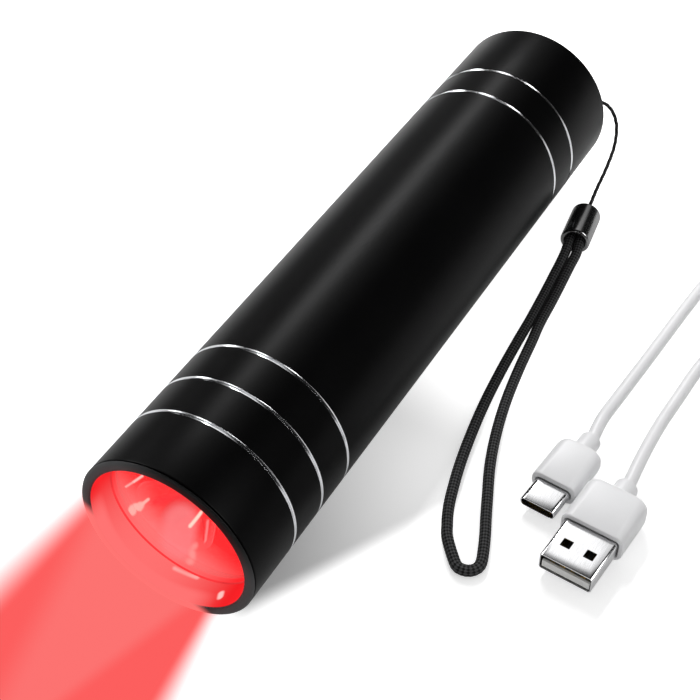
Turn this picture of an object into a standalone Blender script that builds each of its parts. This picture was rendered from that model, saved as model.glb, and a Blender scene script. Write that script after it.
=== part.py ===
"""Red light therapy wand: a torch-shaped aluminium body with its wrist strap and charging lead.

Metres, +Z up. X runs along the wand from tail to head, and the wand lies on the floor at z = 0
with the middle of its length over the origin. The strap and the lead lie on its +Y side.
Places along the wand are depths behind the front of the head.
"""
from math import cos, pi, sin

import bmesh
import bpy
from mathutils import Matrix, Vector

# Body
BODY_LENGTH = 0.1659
BODY_RADIUS = 0.0200
BODY_WALL = 0.0034  # round the main bore, which holds the cell
HEAD_WALL = 0.0011  # round the wider bore of the head, down to the heat sink's seat
TAIL_CAP_LENGTH = 0.0197  # outside part of the tail cap, from the parting line
RIM_CHAMFER = 0.0003
CLEARANCE = 0.0003  # between pieces that touch
OVERRUN = 0.0010  # how far a cutter runs past what it cuts

# Turned grooves with bare metal floors
GROOVE_WIDTH = 0.0008
GROOVE_DEPTH = 0.0004
GROOVE_FLOOR_SHARE = 0.5
HEAD_GROOVE_DEPTHS = (0.0152, 0.0254, 0.0356)
TAIL_GROOVE_FROM_END = 0.0300

# Bezel ring, gasket and lens
BEZEL_FLANGE_THICKNESS = 0.0005
BEZEL_SKIRT_WALL = 0.0009
RECESS_DEPTH = 0.0068
GASKET_THICKNESS = 0.0008
GASKET_WIDTH = 0.00134
LENS_THICKNESS = 0.0020

# Reflector with three cups
REFLECTOR_DEPTH = 0.0100
CUP_COUNT = 3
CUP_RIM = 0.0005  # metal left outside the cups at the reflector's front
CUP_MOUTH_RADIUS = 0.0094
CUP_THROAT_RADIUS = 0.0028
CUP_TURN = 1.92  # direction of the first cup, from +Y towards +Z
CUP_STEPS = 5

# Light sources and what carries them
LED_WIDTH = 0.0050
LED_THICKNESS = 0.0007
LED_DOME_RADIUS = 0.0021
LED_BOARD_INSET = 0.0006  # board's edge inside the head bore's clearance
LED_BOARD_THICKNESS = 0.0016
SINK_FLANGE_THICKNESS = 0.0020
SINK_LENGTH = 0.0180
BOARD_SCREW_HEAD_RADIUS = 0.0016
BOARD_SCREW_HEAD_THICKNESS = 0.0009
BOARD_SCREW_SHANK_RADIUS = 0.0008
BOARD_SCREW_LENGTH = 0.0060
WIRE_RADIUS = 0.0005
WIRE_HOLE_RADIUS = 0.0009
WIRE_FROM_EDGE = 0.0035  # wire's distance inside the light board's edge
WIRE_SPREAD = 0.0036  # between the two wires

# Driver and charging board, its socket and the front contact
BOARD_THICKNESS = 0.0012
BOARD_SPACER_WALL = 0.0015
SOCKET_WIDTH = 0.00894
SOCKET_HEIGHT = 0.00326
SOCKET_LENGTH = 0.0073
SOCKET_WALL = 0.0003
SOCKET_CORNER_RADIUS = 0.0012
SOCKET_MOUTH_DEPTH = 0.0024  # mouth below the body's outer surface
TONGUE_WIDTH = 0.0067
TONGUE_HEIGHT = 0.0007
CONTACT_RADIUS = 0.0035
CONTACT_THICKNESS = 0.0010
POLE_RADIUS = 0.0055
POLE_HEIGHT = 0.0012
CELL_GAP = 0.0005  # between the cell's sleeve and the bore

# Charging port window, its pocket and the rubber flap
WINDOW_WIDTH = 0.0042
WINDOW_HEIGHT = 0.0100
FLAP_LENGTH = 0.0090
FLAP_HEIGHT = 0.0140
FLAP_THICKNESS = 0.0006
FLAP_PLUG_WIDTH = 0.0035
FLAP_PLUG_HEIGHT = 0.0092
FLAP_PLUG_DEPTH = 0.0009
POCKET_CLEARANCE = 0.0004

# Tail cap and the switch in it
SPIGOT_LENGTH = 0.0130
SPIGOT_WALL = 0.0023
TAIL_CHAMBER_WALL = 0.0038
TAIL_CHAMBER_LENGTH = 0.0080
TAIL_WALL = 0.0032
O_RING_WIRE_RADIUS = 0.0006
O_RING_FROM_SPIGOT_END = 0.0050
O_RING_GROOVE_DEPTH = 0.0015
BUTTON_RADIUS = 0.0072
BUTTON_GAP = 0.0003
BUTTON_INSET = 0.0004
BUTTON_FLANGE_WIDTH = 0.0020
BUTTON_FLANGE_THICKNESS = 0.0012
BUTTON_CROWN = 0.0005
BUTTON_TRAVEL = 0.0015
PLUNGER_RADIUS = 0.0020
PLUNGER_GAP = 0.0004
PLUNGER_LENGTH = 0.0050
PLUNGER_EXPOSED = 0.0030
SWITCH_RADIUS = 0.0095
SWITCH_LENGTH = 0.0140
SWITCH_BOARD_THICKNESS = 0.0012
RETAINER_THICKNESS = 0.0012
RETAINER_WIDTH = 0.0028
SPRING_RADIUS = 0.0065
SPRING_TOP_RADIUS = 0.0038
SPRING_WIRE_RADIUS = 0.0005
SPRING_TURNS = 5
SPRING_POINTS_PER_TURN = 10
SPRING_LENGTH = 0.0132

# Wrist strap: its places, like the lead's, are measured along X from the tail's end
LANYARD_HOLE_RADIUS = 0.0010
LANYARD_FROM_EDGE = 0.0058  # hole's middle inside the body's outer surface
LANYARD_TURN = 0.2059  # direction of the hole from the axis, from +Y towards +Z
STRING_INSIDE = 0.00045  # string's reach past the tail wall to its knot
STRING_STRAIGHT = 0.00135  # straight string outside the hole
STRING_DIAMETER = 0.0008
KNOT_RADIUS = 0.0014
BEAD_HEAD = Vector((0.01648, 0.0245, 0.0038))
BEAD_MOUTH = Vector((0.02823, 0.02623, 0.0038))
BEAD_RADIUS = 0.0037
BEAD_HEAD_CHAMFER = 0.0006
BEAD_MOUTH_CHAMFER = 0.0004
BEAD_STRING_GAP = 0.0004  # round the string in the bead
BEAD_CORD_HOLE_DEPTH = 0.0030
STRAP_DIAMETER = 0.0024
STRAP_GAP = 0.0002  # round the two strands in the bead's mouth
STRING_ROUTE = (  # from behind the lanyard hole to the bead
    (-0.00415, 0.0153, 0.0227),
    (-0.00605, 0.0188, 0.0207), (-0.00595, 0.0214, 0.0167), (-0.00315, 0.0228, 0.0121),
    (0.00165, 0.0231, 0.0079), (0.00665, 0.0231, 0.0050), (0.01165, 0.0237, 0.0040),
    (0.01648, 0.0245, 0.0038), (0.02145, 0.0252, 0.0038),
)
STRAP_ROUTE = (  # out of the bead's mouth, round the loop and back in
    (0.02597, 0.02459, 0.00375), (0.02874, 0.0250, 0.00368), (0.03215, 0.02565, 0.0033),
    (0.03605, 0.02595, 0.0027), (0.04005, 0.0262, 0.0021), (0.04405, 0.0265, 0.0016),
    (0.04895, 0.0269, 0.0013), (0.05695, 0.0276, 0.0013), (0.06475, 0.0282, 0.0013),
    (0.07485, 0.0290, 0.0013), (0.08585, 0.0302, 0.0013), (0.09605, 0.0318, 0.0013),
    (0.10575, 0.03375, 0.0013), (0.11417, 0.03564, 0.0013), (0.11872, 0.03723, 0.0013),
    (0.12257, 0.03867, 0.0013), (0.12590, 0.04006, 0.0013), (0.12910, 0.04147, 0.0013),
    (0.13158, 0.04408, 0.0013), (0.13149, 0.04768, 0.0013), (0.12887, 0.05016, 0.0013),
    (0.12528, 0.05006, 0.0013), (0.12211, 0.04856, 0.0013), (0.11891, 0.0469, 0.0013),
    (0.11528, 0.04496, 0.0013), (0.11096, 0.04286, 0.0013), (0.10245, 0.03945, 0.0013),
    (0.09335, 0.03655, 0.0013), (0.08355, 0.0342, 0.0013), (0.07295, 0.0324, 0.0013),
    (0.06305, 0.0311, 0.0013), (0.05665, 0.03025, 0.0013), (0.04865, 0.0296, 0.0013),
    (0.04375, 0.0292, 0.0016), (0.03975, 0.0289, 0.0021), (0.03575, 0.0286, 0.0027),
    (0.03175, 0.0283, 0.0033), (0.02836, 0.02757, 0.00368), (0.02559, 0.02716, 0.00375),
)

# Charging lead: plug ends, both lying flat with their mouths towards +X
CABLE_DIAMETER = 0.0030
C_TIP = Vector((0.10965, 0.0538, 0.0029))
C_TURN = pi - 0.095  # direction of the cable from the plug, about +Z from +X
C_SHELL_WIDTH = 0.00825
C_SHELL_HEIGHT = 0.0024
C_SHELL_LENGTH = 0.00665
C_SHELL_WALL = 0.0003
C_SHELL_CORNER = 0.0011
C_CORE_LENGTH = 0.0020  # insulator at the bottom of the plug's opening
C_GRIP_WIDTH = 0.0106
C_GRIP_HEIGHT = 0.0056
C_GRIP_LENGTH = 0.0125
C_NECK_RADIUS = 0.0024
C_NECK_LENGTH = 0.0045
A_TIP = Vector((0.12285, 0.0660, 0.0038))
A_TURN = pi - 0.080
A_SHELL_WIDTH = 0.0120
A_SHELL_HEIGHT = 0.0045
A_SHELL_LENGTH = 0.0110
A_SHELL_WALL = 0.0003
A_SHELL_CORNER = 0.0007
A_WINDOW_SIDE = 0.0022
A_WINDOW_SPREAD = 0.0053  # between the two square windows' middles
A_WINDOW_FROM_TIP = 0.0052
A_BLOCK_HEIGHT = 0.0018
A_GRIP_WIDTH = 0.0142
A_GRIP_HEIGHT = 0.0074
A_GRIP_LENGTH = 0.0125
A_NECK_RADIUS = 0.0026
A_NECK_LENGTH = 0.0040
GRIP_CORNER_SHARE = 0.42  # of a grip's height
PLUG_SEAT_DEPTH = 0.0006  # how far a metal shell stands in its grip's pocket
CABLE_ROUTE = (  # from behind the USB-C plug, out past the view's right edge, and back
    (0.08581, 0.05607, 0.0029), (0.07895, 0.0556, 0.0027), (0.06955, 0.0560, 0.0019),
    (0.05495, 0.0570, 0.0016), (0.03295, 0.0586, 0.0016), (0.00895, 0.0609, 0.0016),
    (-0.01205, 0.0639, 0.0016), (-0.03005, 0.0683, 0.0016), (-0.04105, 0.0750, 0.0016),
    (-0.04405, 0.0835, 0.0016), (-0.03855, 0.0905, 0.0016), (-0.02805, 0.0925, 0.0016),
    (-0.01305, 0.0895, 0.0016), (0.00395, 0.0830, 0.0016), (0.02195, 0.0756, 0.0016),
    (0.03795, 0.0706, 0.0016), (0.05195, 0.0684, 0.0016), (0.06255, 0.0677, 0.0016),
    (0.07355, 0.0672, 0.0019), (0.08435, 0.0675, 0.0030), (0.09514, 0.06822, 0.0038),
)

# Fineness of the round shapes
BODY_SIDES = 48
PART_SIDES = 32
SMALL_SIDES = 16
CORNER_SEGMENTS = 4
CORD_BEVEL_RESOLUTION = 2
O_RING_SECTION_SIDES = 8
ROUTE_PARTS = 24  # of a route's curve between two of its points
STRING_STEP_SHARE = 3.0  # a cord's steps along its route, in diameters
STRAP_STEP_SHARE = 1.9
CABLE_STEP_SHARE = 1.6
MERGE_DISTANCE = 0.00001

# Places that follow from the sizes
AXIS_HEIGHT = BODY_RADIUS * cos(pi / BODY_SIDES)  # a flat of the body's polygon lies on the floor
FRONT_X = BODY_LENGTH / 2
BORE_RADIUS = BODY_RADIUS - BODY_WALL
HEAD_BORE_RADIUS = BODY_RADIUS - HEAD_WALL
HEAD_PART_RADIUS = HEAD_BORE_RADIUS - CLEARANCE
BEZEL_OPENING_RADIUS = HEAD_PART_RADIUS - BEZEL_SKIRT_WALL
GASKET_OPENING_RADIUS = HEAD_PART_RADIUS - GASKET_WIDTH
CUP_OFFSET = HEAD_PART_RADIUS - CUP_RIM - CUP_MOUTH_RADIUS
LED_BOARD_RADIUS = HEAD_PART_RADIUS - LED_BOARD_INSET
BOARD_RADIUS = BORE_RADIUS - CLEARANCE
CELL_RADIUS = BORE_RADIUS - CELL_GAP
SPIGOT_RADIUS = BORE_RADIUS - CLEARANCE
TAIL_BORE_RADIUS = SPIGOT_RADIUS - SPIGOT_WALL
TAIL_CHAMBER_RADIUS = BODY_RADIUS - TAIL_CHAMBER_WALL
SWITCH_BOARD_RADIUS = TAIL_BORE_RADIUS - CLEARANCE
BUTTON_HOLE_RADIUS = BUTTON_RADIUS + BUTTON_GAP
BUTTON_FLANGE_RADIUS = BUTTON_RADIUS + BUTTON_FLANGE_WIDTH
PLUNGER_BORE_RADIUS = PLUNGER_RADIUS + PLUNGER_GAP
BEAD_STRING_HOLE_RADIUS = STRING_DIAMETER / 2 + BEAD_STRING_GAP
BEAD_CORD_HOLE_RADIUS = STRAP_DIAMETER + CLEARANCE / 2 + STRAP_GAP
LANYARD_HOLE_Y = (BODY_RADIUS - LANYARD_FROM_EDGE) * cos(LANYARD_TURN)
LANYARD_HOLE_RISE = (BODY_RADIUS - LANYARD_FROM_EDGE) * sin(LANYARD_TURN)
SKIRT_END = RECESS_DEPTH - CLEARANCE
GASKET_END = RECESS_DEPTH + GASKET_THICKNESS
LENS_FRONT = GASKET_END + CLEARANCE
LENS_BACK = LENS_FRONT + LENS_THICKNESS
REFLECTOR_FRONT = LENS_BACK + CLEARANCE
REFLECTOR_BACK = REFLECTOR_FRONT + REFLECTOR_DEPTH
LED_FRONT = REFLECTOR_BACK + CLEARANCE
LED_BOARD_FRONT = LED_FRONT + LED_THICKNESS + CLEARANCE
LED_BOARD_BACK = LED_BOARD_FRONT + LED_BOARD_THICKNESS
SINK_FRONT = LED_BOARD_BACK + CLEARANCE
SINK_SEAT = SINK_FRONT + SINK_FLANGE_THICKNESS
HEAD_BORE_END = SINK_SEAT + CLEARANCE
SINK_BACK = SINK_FRONT + SINK_LENGTH
DRIVER_FRONT = SINK_BACK + CLEARANCE
DRIVER_BACK = DRIVER_FRONT + BOARD_THICKNESS
SOCKET_MIDDLE = DRIVER_BACK + CLEARANCE + SOCKET_HEIGHT / 2
SPACER_FRONT = DRIVER_BACK + CLEARANCE
SPACER_BACK = SPACER_FRONT + SOCKET_HEIGHT + CLEARANCE
CONTACT_BOARD_FRONT = SPACER_BACK + CLEARANCE
CONTACT_BOARD_BACK = CONTACT_BOARD_FRONT + BOARD_THICKNESS
CONTACT_FRONT = CONTACT_BOARD_BACK + CLEARANCE
CELL_TOP = CONTACT_FRONT + CONTACT_THICKNESS + CLEARANCE
PARTING = BODY_LENGTH - TAIL_CAP_LENGTH - CLEARANCE / 2
SPIGOT_END = PARTING - SPIGOT_LENGTH
RETAINER_FRONT = SPIGOT_END + CLEARANCE
RETAINER_BACK = RETAINER_FRONT + RETAINER_THICKNESS
SWITCH_BOARD_FRONT = RETAINER_BACK + CLEARANCE
SPRING_BACK = SWITCH_BOARD_FRONT - CLEARANCE
SPRING_FRONT = SPRING_BACK - SPRING_LENGTH
CELL_BOTTOM = SPRING_FRONT - CLEARANCE  # a standard cell 70 mm long at the real sizes
SWITCH_BOARD_BACK = SWITCH_BOARD_FRONT + SWITCH_BOARD_THICKNESS
SWITCH_FRONT = SWITCH_BOARD_BACK + CLEARANCE
SWITCH_BACK = SWITCH_FRONT + SWITCH_LENGTH
PLUNGER_BACK = SWITCH_BACK + PLUNGER_EXPOSED
PLUNGER_FRONT = PLUNGER_BACK - PLUNGER_LENGTH
TAIL_WALL_FRONT = BODY_LENGTH - TAIL_WALL
BUTTON_BACK = BODY_LENGTH - BUTTON_INSET
BUTTON_FLANGE_BACK = TAIL_WALL_FRONT - CLEARANCE
BUTTON_FLANGE_FRONT = BUTTON_FLANGE_BACK - BUTTON_FLANGE_THICKNESS
BUTTON_STEM_FRONT = PLUNGER_BACK + CLEARANCE
FLAP_HINGE_DEPTH = SOCKET_MIDDLE + FLAP_LENGTH / 2
FLAP_HINGE_Y = -BODY_RADIUS + FLAP_THICKNESS / 2

collection = None
cutters = None


def clear_scene():
    for item in list(bpy.data.objects):
        bpy.data.objects.remove(item, do_unlink=True)


def new_collection(name):
    group = bpy.data.collections.new(name)
    bpy.context.scene.collection.children.link(group)
    return group


def material(name, color, metallic=0.0, roughness=0.5, alpha=1.0, glow=0.0):
    found = bpy.data.materials.get(name)
    if found:
        return found
    made = bpy.data.materials.new(name)
    made.use_nodes = True
    shader = made.node_tree.nodes["Principled BSDF"]
    shader.inputs["Base Color"].default_value = (*color, 1.0)
    shader.inputs["Metallic"].default_value = metallic
    shader.inputs["Roughness"].default_value = roughness
    shader.inputs["Alpha"].default_value = alpha
    if glow:
        shader.inputs["Emission Color"].default_value = (*color, 1.0)
        shader.inputs["Emission Strength"].default_value = glow
    made.diffuse_color = (*color, alpha)
    return made


def black_anodised():
    return material("black_anodised", (0.012, 0.012, 0.013), 0.6, 0.38)


def bare_aluminium():
    return material("bare_aluminium", (0.75, 0.76, 0.78), 1.0, 0.3)


def black_rubber():
    return material("black_rubber", (0.02, 0.02, 0.02), 0.0, 0.7)


def board_green():
    return material("board_green", (0.02, 0.12, 0.05), 0.0, 0.45)


def white_plastic():
    return material("white_plastic", (0.86, 0.86, 0.86), 0.0, 0.4)


def black_plastic():
    return material("black_plastic", (0.015, 0.015, 0.016), 0.0, 0.3)


def plated_steel():
    return material("plated_steel", (0.72, 0.72, 0.73), 1.0, 0.25)


def brass():
    return material("brass", (0.72, 0.52, 0.22), 1.0, 0.3)


def add_object(name, mesh, surface=None):
    made = bpy.data.objects.new(name, mesh)
    if surface is None:
        cutters.objects.link(made)
        made.hide_render = True
        made.display_type = "WIRE"
    else:
        collection.objects.link(made)
        made.data.materials.append(surface)
    return made


def along_wand(depth=0.0, y=0.0, rise=0.0, spin=0.0):
    """Place for a turned shape whose own +Z points out of the head, at a depth behind the front."""
    place = Matrix.Translation((FRONT_X - depth, y, AXIS_HEIGHT + rise))
    return place @ Matrix.Rotation(pi / 2, 4, "Y") @ Matrix.Rotation(spin, 4, "Z")


def turned(name, profile, surface, place=None, sides=PART_SIDES, closed=True, smooth=True):
    """Turn a profile of (radius, depth) points, listed down its outer side, about the wand's axis."""
    mesh = bpy.data.meshes.new(name)
    count = len(profile)
    edges = [(i, i + 1) for i in range(count - 1)]
    if closed:
        edges.append((count - 1, 0))
    mesh.from_pydata([(radius, 0.0, -depth) for radius, depth in profile], edges, [])
    made = add_object(name, mesh, surface)
    screw = made.modifiers.new("turn", "SCREW")
    screw.axis = "Z"
    screw.angle = 2 * pi
    screw.steps = sides
    screw.render_steps = sides
    screw.use_merge_vertices = True
    screw.merge_threshold = MERGE_DISTANCE
    screw.use_smooth_shade = smooth
    made.matrix_world = place if place is not None else along_wand(spin=pi / sides)
    return made


def disc(name, radius, front, back, surface, place=None, sides=PART_SIDES):
    profile = [(0.0, front), (radius, front), (radius, back), (0.0, back)]
    return turned(name, profile, surface, place, sides, closed=False)


def ring(name, inner, outer, front, back, surface, place=None, sides=PART_SIDES):
    profile = [(outer, front), (outer, back), (inner, back), (inner, front)]
    return turned(name, profile, surface, place, sides)


def box(name, size, surface, place, corner=0.0, segments=CORNER_SEGMENTS, only_x=False):
    """A box with rounded edges, or with only the edges along its X rounded."""
    mesh = bpy.data.meshes.new(name)
    work = bmesh.new()
    bmesh.ops.create_cube(work, size=1)
    bmesh.ops.scale(work, vec=size, verts=work.verts)
    work.to_mesh(mesh)
    work.free()
    made = add_object(name, mesh, surface)
    made.matrix_world = place
    if corner:
        bevel = made.modifiers.new("round", "BEVEL")
        bevel.width = corner
        bevel.segments = segments
        bevel.limit_method = "NONE"
        if only_x:
            weight = mesh.attributes.new("bevel_weight_edge", "FLOAT", "EDGE")
            for edge in mesh.edges:
                ends = [mesh.vertices[i].co for i in edge.vertices]
                weight.data[edge.index].value = float(abs(ends[0].x - ends[1].x) > MERGE_DISTANCE)
            bevel.limit_method = "WEIGHT"
    return made


def boolean(target, cutter, operation="DIFFERENCE"):
    change = target.modifiers.new(operation.lower(), "BOOLEAN")
    change.operation = operation
    change.solver = "EXACT"
    change.object = cutter
    return target


def groove(depth):
    """Profile points of one turned groove in the body's outer surface."""
    half = GROOVE_WIDTH / 2
    floor = half * GROOVE_FLOOR_SHARE
    low = BODY_RADIUS - GROOVE_DEPTH
    return [(BODY_RADIUS, depth - half), (low, depth - floor), (low, depth + floor),
            (BODY_RADIUS, depth + half)]


def smooth_route(points, spacing):
    """Points at even steps along a smooth curve through the given points."""
    knots = [Vector(point) for point in points]
    knots = [knots[0] * 2 - knots[1]] + knots + [knots[-1] * 2 - knots[-2]]
    fine = []
    for i in range(1, len(knots) - 2):
        before, start, end, after = knots[i - 1:i + 3]
        for k in range(ROUTE_PARTS):
            t = k / ROUTE_PARTS
            fine.append(0.5 * (2 * start + (end - before) * t
                               + (2 * before - 5 * start + 4 * end - after) * t ** 2
                               + (3 * start - before - 3 * end + after) * t ** 3))
    fine.append(knots[-2])
    lengths = [0.0]
    for first, second in zip(fine, fine[1:]):
        lengths.append(lengths[-1] + (second - first).length)
    count = max(2, round(lengths[-1] / spacing))
    route = []
    k = 0
    for i in range(count + 1):
        goal = lengths[-1] * i / count
        while k < len(fine) - 2 and lengths[k + 1] < goal:
            k += 1
        span = lengths[k + 1] - lengths[k]
        route.append(fine[k].lerp(fine[k + 1], (goal - lengths[k]) / span))
    return route


def from_tail(point):
    """Place of a point of the strap or the lead, whose X is measured from the tail's end."""
    return Vector(point) - Vector((FRONT_X, 0.0, 0.0))


def tube(name, route, radius, surface, resolution=CORD_BEVEL_RESOLUTION):
    curve = bpy.data.curves.new(name, "CURVE")
    curve.dimensions = "3D"
    curve.bevel_depth = radius
    curve.bevel_resolution = resolution
    curve.use_fill_caps = True
    line = curve.splines.new("POLY")
    line.points.add(len(route) - 1)
    for spot, point in zip(line.points, route):
        spot.co = (*point, 1.0)
    return add_object(name, curve, surface)


def make_barrel():
    half_gap = CLEARANCE / 2
    start = BEZEL_FLANGE_THICKNESS + CLEARANCE
    end = PARTING - half_gap
    lip = (GROOVE_WIDTH - CLEARANCE) / 2  # the barrel's share of the groove at the parting line
    outer = [(HEAD_BORE_RADIUS, start), (BODY_RADIUS, start)]
    for depth in HEAD_GROOVE_DEPTHS:
        outer += groove(depth)
    outer += groove(BODY_LENGTH - TAIL_GROOVE_FROM_END)
    outer += [(BODY_RADIUS, end - lip), (BODY_RADIUS - GROOVE_DEPTH, end)]
    inner = [(BORE_RADIUS, end), (BORE_RADIUS, HEAD_BORE_END), (HEAD_BORE_RADIUS, HEAD_BORE_END)]
    barrel = turned("barrel", outer + inner, black_anodised(), sides=BODY_SIDES)
    around = Matrix.Translation((FRONT_X - SOCKET_MIDDLE, -BODY_RADIUS, AXIS_HEIGHT))
    reach = 2 * (BODY_RADIUS - BORE_RADIUS) + OVERRUN
    window = box("window_cut", (WINDOW_WIDTH, 2 * reach, WINDOW_HEIGHT), None, around)
    boolean(barrel, window)
    floor = BODY_RADIUS - FLAP_THICKNESS - CLEARANCE
    pocket = ring("pocket_cut", floor, BODY_RADIUS + OVERRUN, SOCKET_MIDDLE - FLAP_LENGTH,
                  SOCKET_MIDDLE + FLAP_LENGTH, None, sides=BODY_SIDES)
    size = (FLAP_LENGTH + 2 * POCKET_CLEARANCE, 2 * reach, FLAP_HEIGHT + 2 * POCKET_CLEARANCE)
    patch = box("pocket_patch", size, None, around)
    boolean(pocket, patch, "INTERSECT")
    boolean(barrel, pocket)
    return barrel


def make_bezel():
    outer = HEAD_PART_RADIUS
    inner = BEZEL_OPENING_RADIUS
    profile = [(inner + RIM_CHAMFER, 0.0), (BODY_RADIUS - RIM_CHAMFER, 0.0),
               (BODY_RADIUS, RIM_CHAMFER), (BODY_RADIUS, BEZEL_FLANGE_THICKNESS),
               (outer, BEZEL_FLANGE_THICKNESS), (outer, SKIRT_END), (inner, SKIRT_END),
               (inner, RIM_CHAMFER)]
    turned("bezel_ring", profile, black_anodised(), sides=BODY_SIDES)


def make_lens():
    ring("lens_gasket", GASKET_OPENING_RADIUS, HEAD_PART_RADIUS, RECESS_DEPTH, GASKET_END,
         material("gasket_silicone", (0.25, 0.02, 0.02), 0.0, 0.5), sides=BODY_SIDES)
    disc("front_lens", HEAD_PART_RADIUS, LENS_FRONT, LENS_BACK,
         material("lens_glass", (0.95, 0.95, 0.95), 0.0, 0.05, alpha=0.3), sides=BODY_SIDES)


def cup_places():
    for i in range(CUP_COUNT):
        angle = CUP_TURN + 2 * pi * i / CUP_COUNT
        yield i + 1, CUP_OFFSET * cos(angle), CUP_OFFSET * sin(angle)


def cup_profile():
    """Half of a parabola from mouth to throat, with a straight throat through the back."""
    steepness = REFLECTOR_DEPTH / (CUP_MOUTH_RADIUS ** 2 - CUP_THROAT_RADIUS ** 2)
    profile = [(0.0, REFLECTOR_FRONT - OVERRUN), (CUP_MOUTH_RADIUS, REFLECTOR_FRONT - OVERRUN)]
    for i in range(CUP_STEPS + 1):
        radius = CUP_MOUTH_RADIUS + (CUP_THROAT_RADIUS - CUP_MOUTH_RADIUS) * i / CUP_STEPS
        rise = steepness * (radius ** 2 - CUP_THROAT_RADIUS ** 2)
        profile.append((radius, REFLECTOR_BACK - rise))
    return profile + [(CUP_THROAT_RADIUS, REFLECTOR_BACK + OVERRUN), (0.0, REFLECTOR_BACK + OVERRUN)]


def make_reflector():
    shiny = material("reflector_chrome", (0.9, 0.88, 0.88), 1.0, 0.06)
    reflector = disc("reflector", HEAD_PART_RADIUS, REFLECTOR_FRONT, REFLECTOR_BACK, shiny,
                     sides=BODY_SIDES)
    for number, y, rise in cup_places():
        cup = turned(f"cup_cut_{number}", cup_profile(), None, along_wand(0.0, y, rise),
                     PART_SIDES, closed=False)
        boolean(reflector, cup)


def make_leds():
    red = material("red_emitter", (1.0, 0.04, 0.05), 0.0, 0.3, glow=8.0)
    for number, y, rise in cup_places():
        centre = LED_FRONT + LED_THICKNESS / 2
        led = box(f"led_{number}", (LED_THICKNESS, LED_WIDTH, LED_WIDTH), red,
                  Matrix.Translation((FRONT_X - centre, y, AXIS_HEIGHT + rise)))
        steps = CORNER_SEGMENTS
        dome = [(LED_DOME_RADIUS * sin(pi / 2 * i / steps),
                 centre - LED_THICKNESS / 2 - LED_DOME_RADIUS * cos(pi / 2 * i / steps))
                for i in range(steps + 1)]
        dome += [(LED_DOME_RADIUS, centre), (0.0, centre)]
        cap = turned(f"led_dome_{number}", dome, None, along_wand(0.0, y, rise), SMALL_SIDES,
                     closed=False)
        boolean(led, cap, "UNION")


def screw_places():
    """Two screws that hold the light board, between the cups."""
    for i in range(2):
        angle = CUP_TURN + pi / CUP_COUNT + 2 * pi * i / CUP_COUNT
        reach = LED_BOARD_RADIUS - 2 * BOARD_SCREW_HEAD_RADIUS
        yield i + 1, reach * cos(angle), reach * sin(angle)


def wire_places():
    for name, side in (("led_wire_red", 1), ("led_wire_black", -1)):
        angle = CUP_TURN + pi / CUP_COUNT + 4 * pi / CUP_COUNT
        reach = LED_BOARD_RADIUS - WIRE_FROM_EDGE
        yield name, reach * cos(angle) + side * WIRE_SPREAD / 2, reach * sin(angle)


def make_light_board():
    board = disc("led_board", LED_BOARD_RADIUS, LED_BOARD_FRONT, LED_BOARD_BACK,
                 material("board_white", (0.8, 0.8, 0.78), 0.0, 0.45))
    sink_profile = [(0.0, SINK_FRONT), (HEAD_PART_RADIUS, SINK_FRONT), (HEAD_PART_RADIUS, SINK_SEAT),
                    (BORE_RADIUS - CLEARANCE, SINK_SEAT), (BORE_RADIUS - CLEARANCE, SINK_BACK),
                    (0.0, SINK_BACK)]
    sink = turned("heat_sink", sink_profile, bare_aluminium(), sides=BODY_SIDES, closed=False)
    for number, y, rise in screw_places():
        hole = disc(f"screw_cut_{number}", BOARD_SCREW_SHANK_RADIUS + CLEARANCE,
                    LED_BOARD_FRONT - OVERRUN, LED_BOARD_FRONT + BOARD_SCREW_LENGTH, None,
                    along_wand(0.0, y, rise), SMALL_SIDES)
        boolean(board, hole)
        boolean(sink, hole)
        head_back = LED_BOARD_FRONT - CLEARANCE
        head_front = head_back - BOARD_SCREW_HEAD_THICKNESS + CLEARANCE
        tip = LED_BOARD_FRONT + BOARD_SCREW_LENGTH - CLEARANCE
        profile = [(0.0, head_front), (BOARD_SCREW_HEAD_RADIUS, head_front),
                   (BOARD_SCREW_HEAD_RADIUS, head_back), (BOARD_SCREW_SHANK_RADIUS, head_back),
                   (BOARD_SCREW_SHANK_RADIUS, tip), (0.0, tip)]
        turned(f"board_screw_{number}", profile, plated_steel(), along_wand(0.0, y, rise),
               SMALL_SIDES, closed=False)
    colors = {"led_wire_red": (0.5, 0.02, 0.02), "led_wire_black": (0.02, 0.02, 0.02)}
    for name, y, rise in wire_places():
        hole = disc(f"{name}_cut", WIRE_HOLE_RADIUS, SINK_FRONT - OVERRUN, SINK_BACK + OVERRUN, None,
                    along_wand(0.0, y, rise), SMALL_SIDES)
        boolean(sink, hole)
        disc(name, WIRE_RADIUS, LED_BOARD_BACK + CLEARANCE / 2, DRIVER_FRONT - CLEARANCE / 2,
             material(name, colors[name], 0.0, 0.4), along_wand(0.0, y, rise), SMALL_SIDES)


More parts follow.
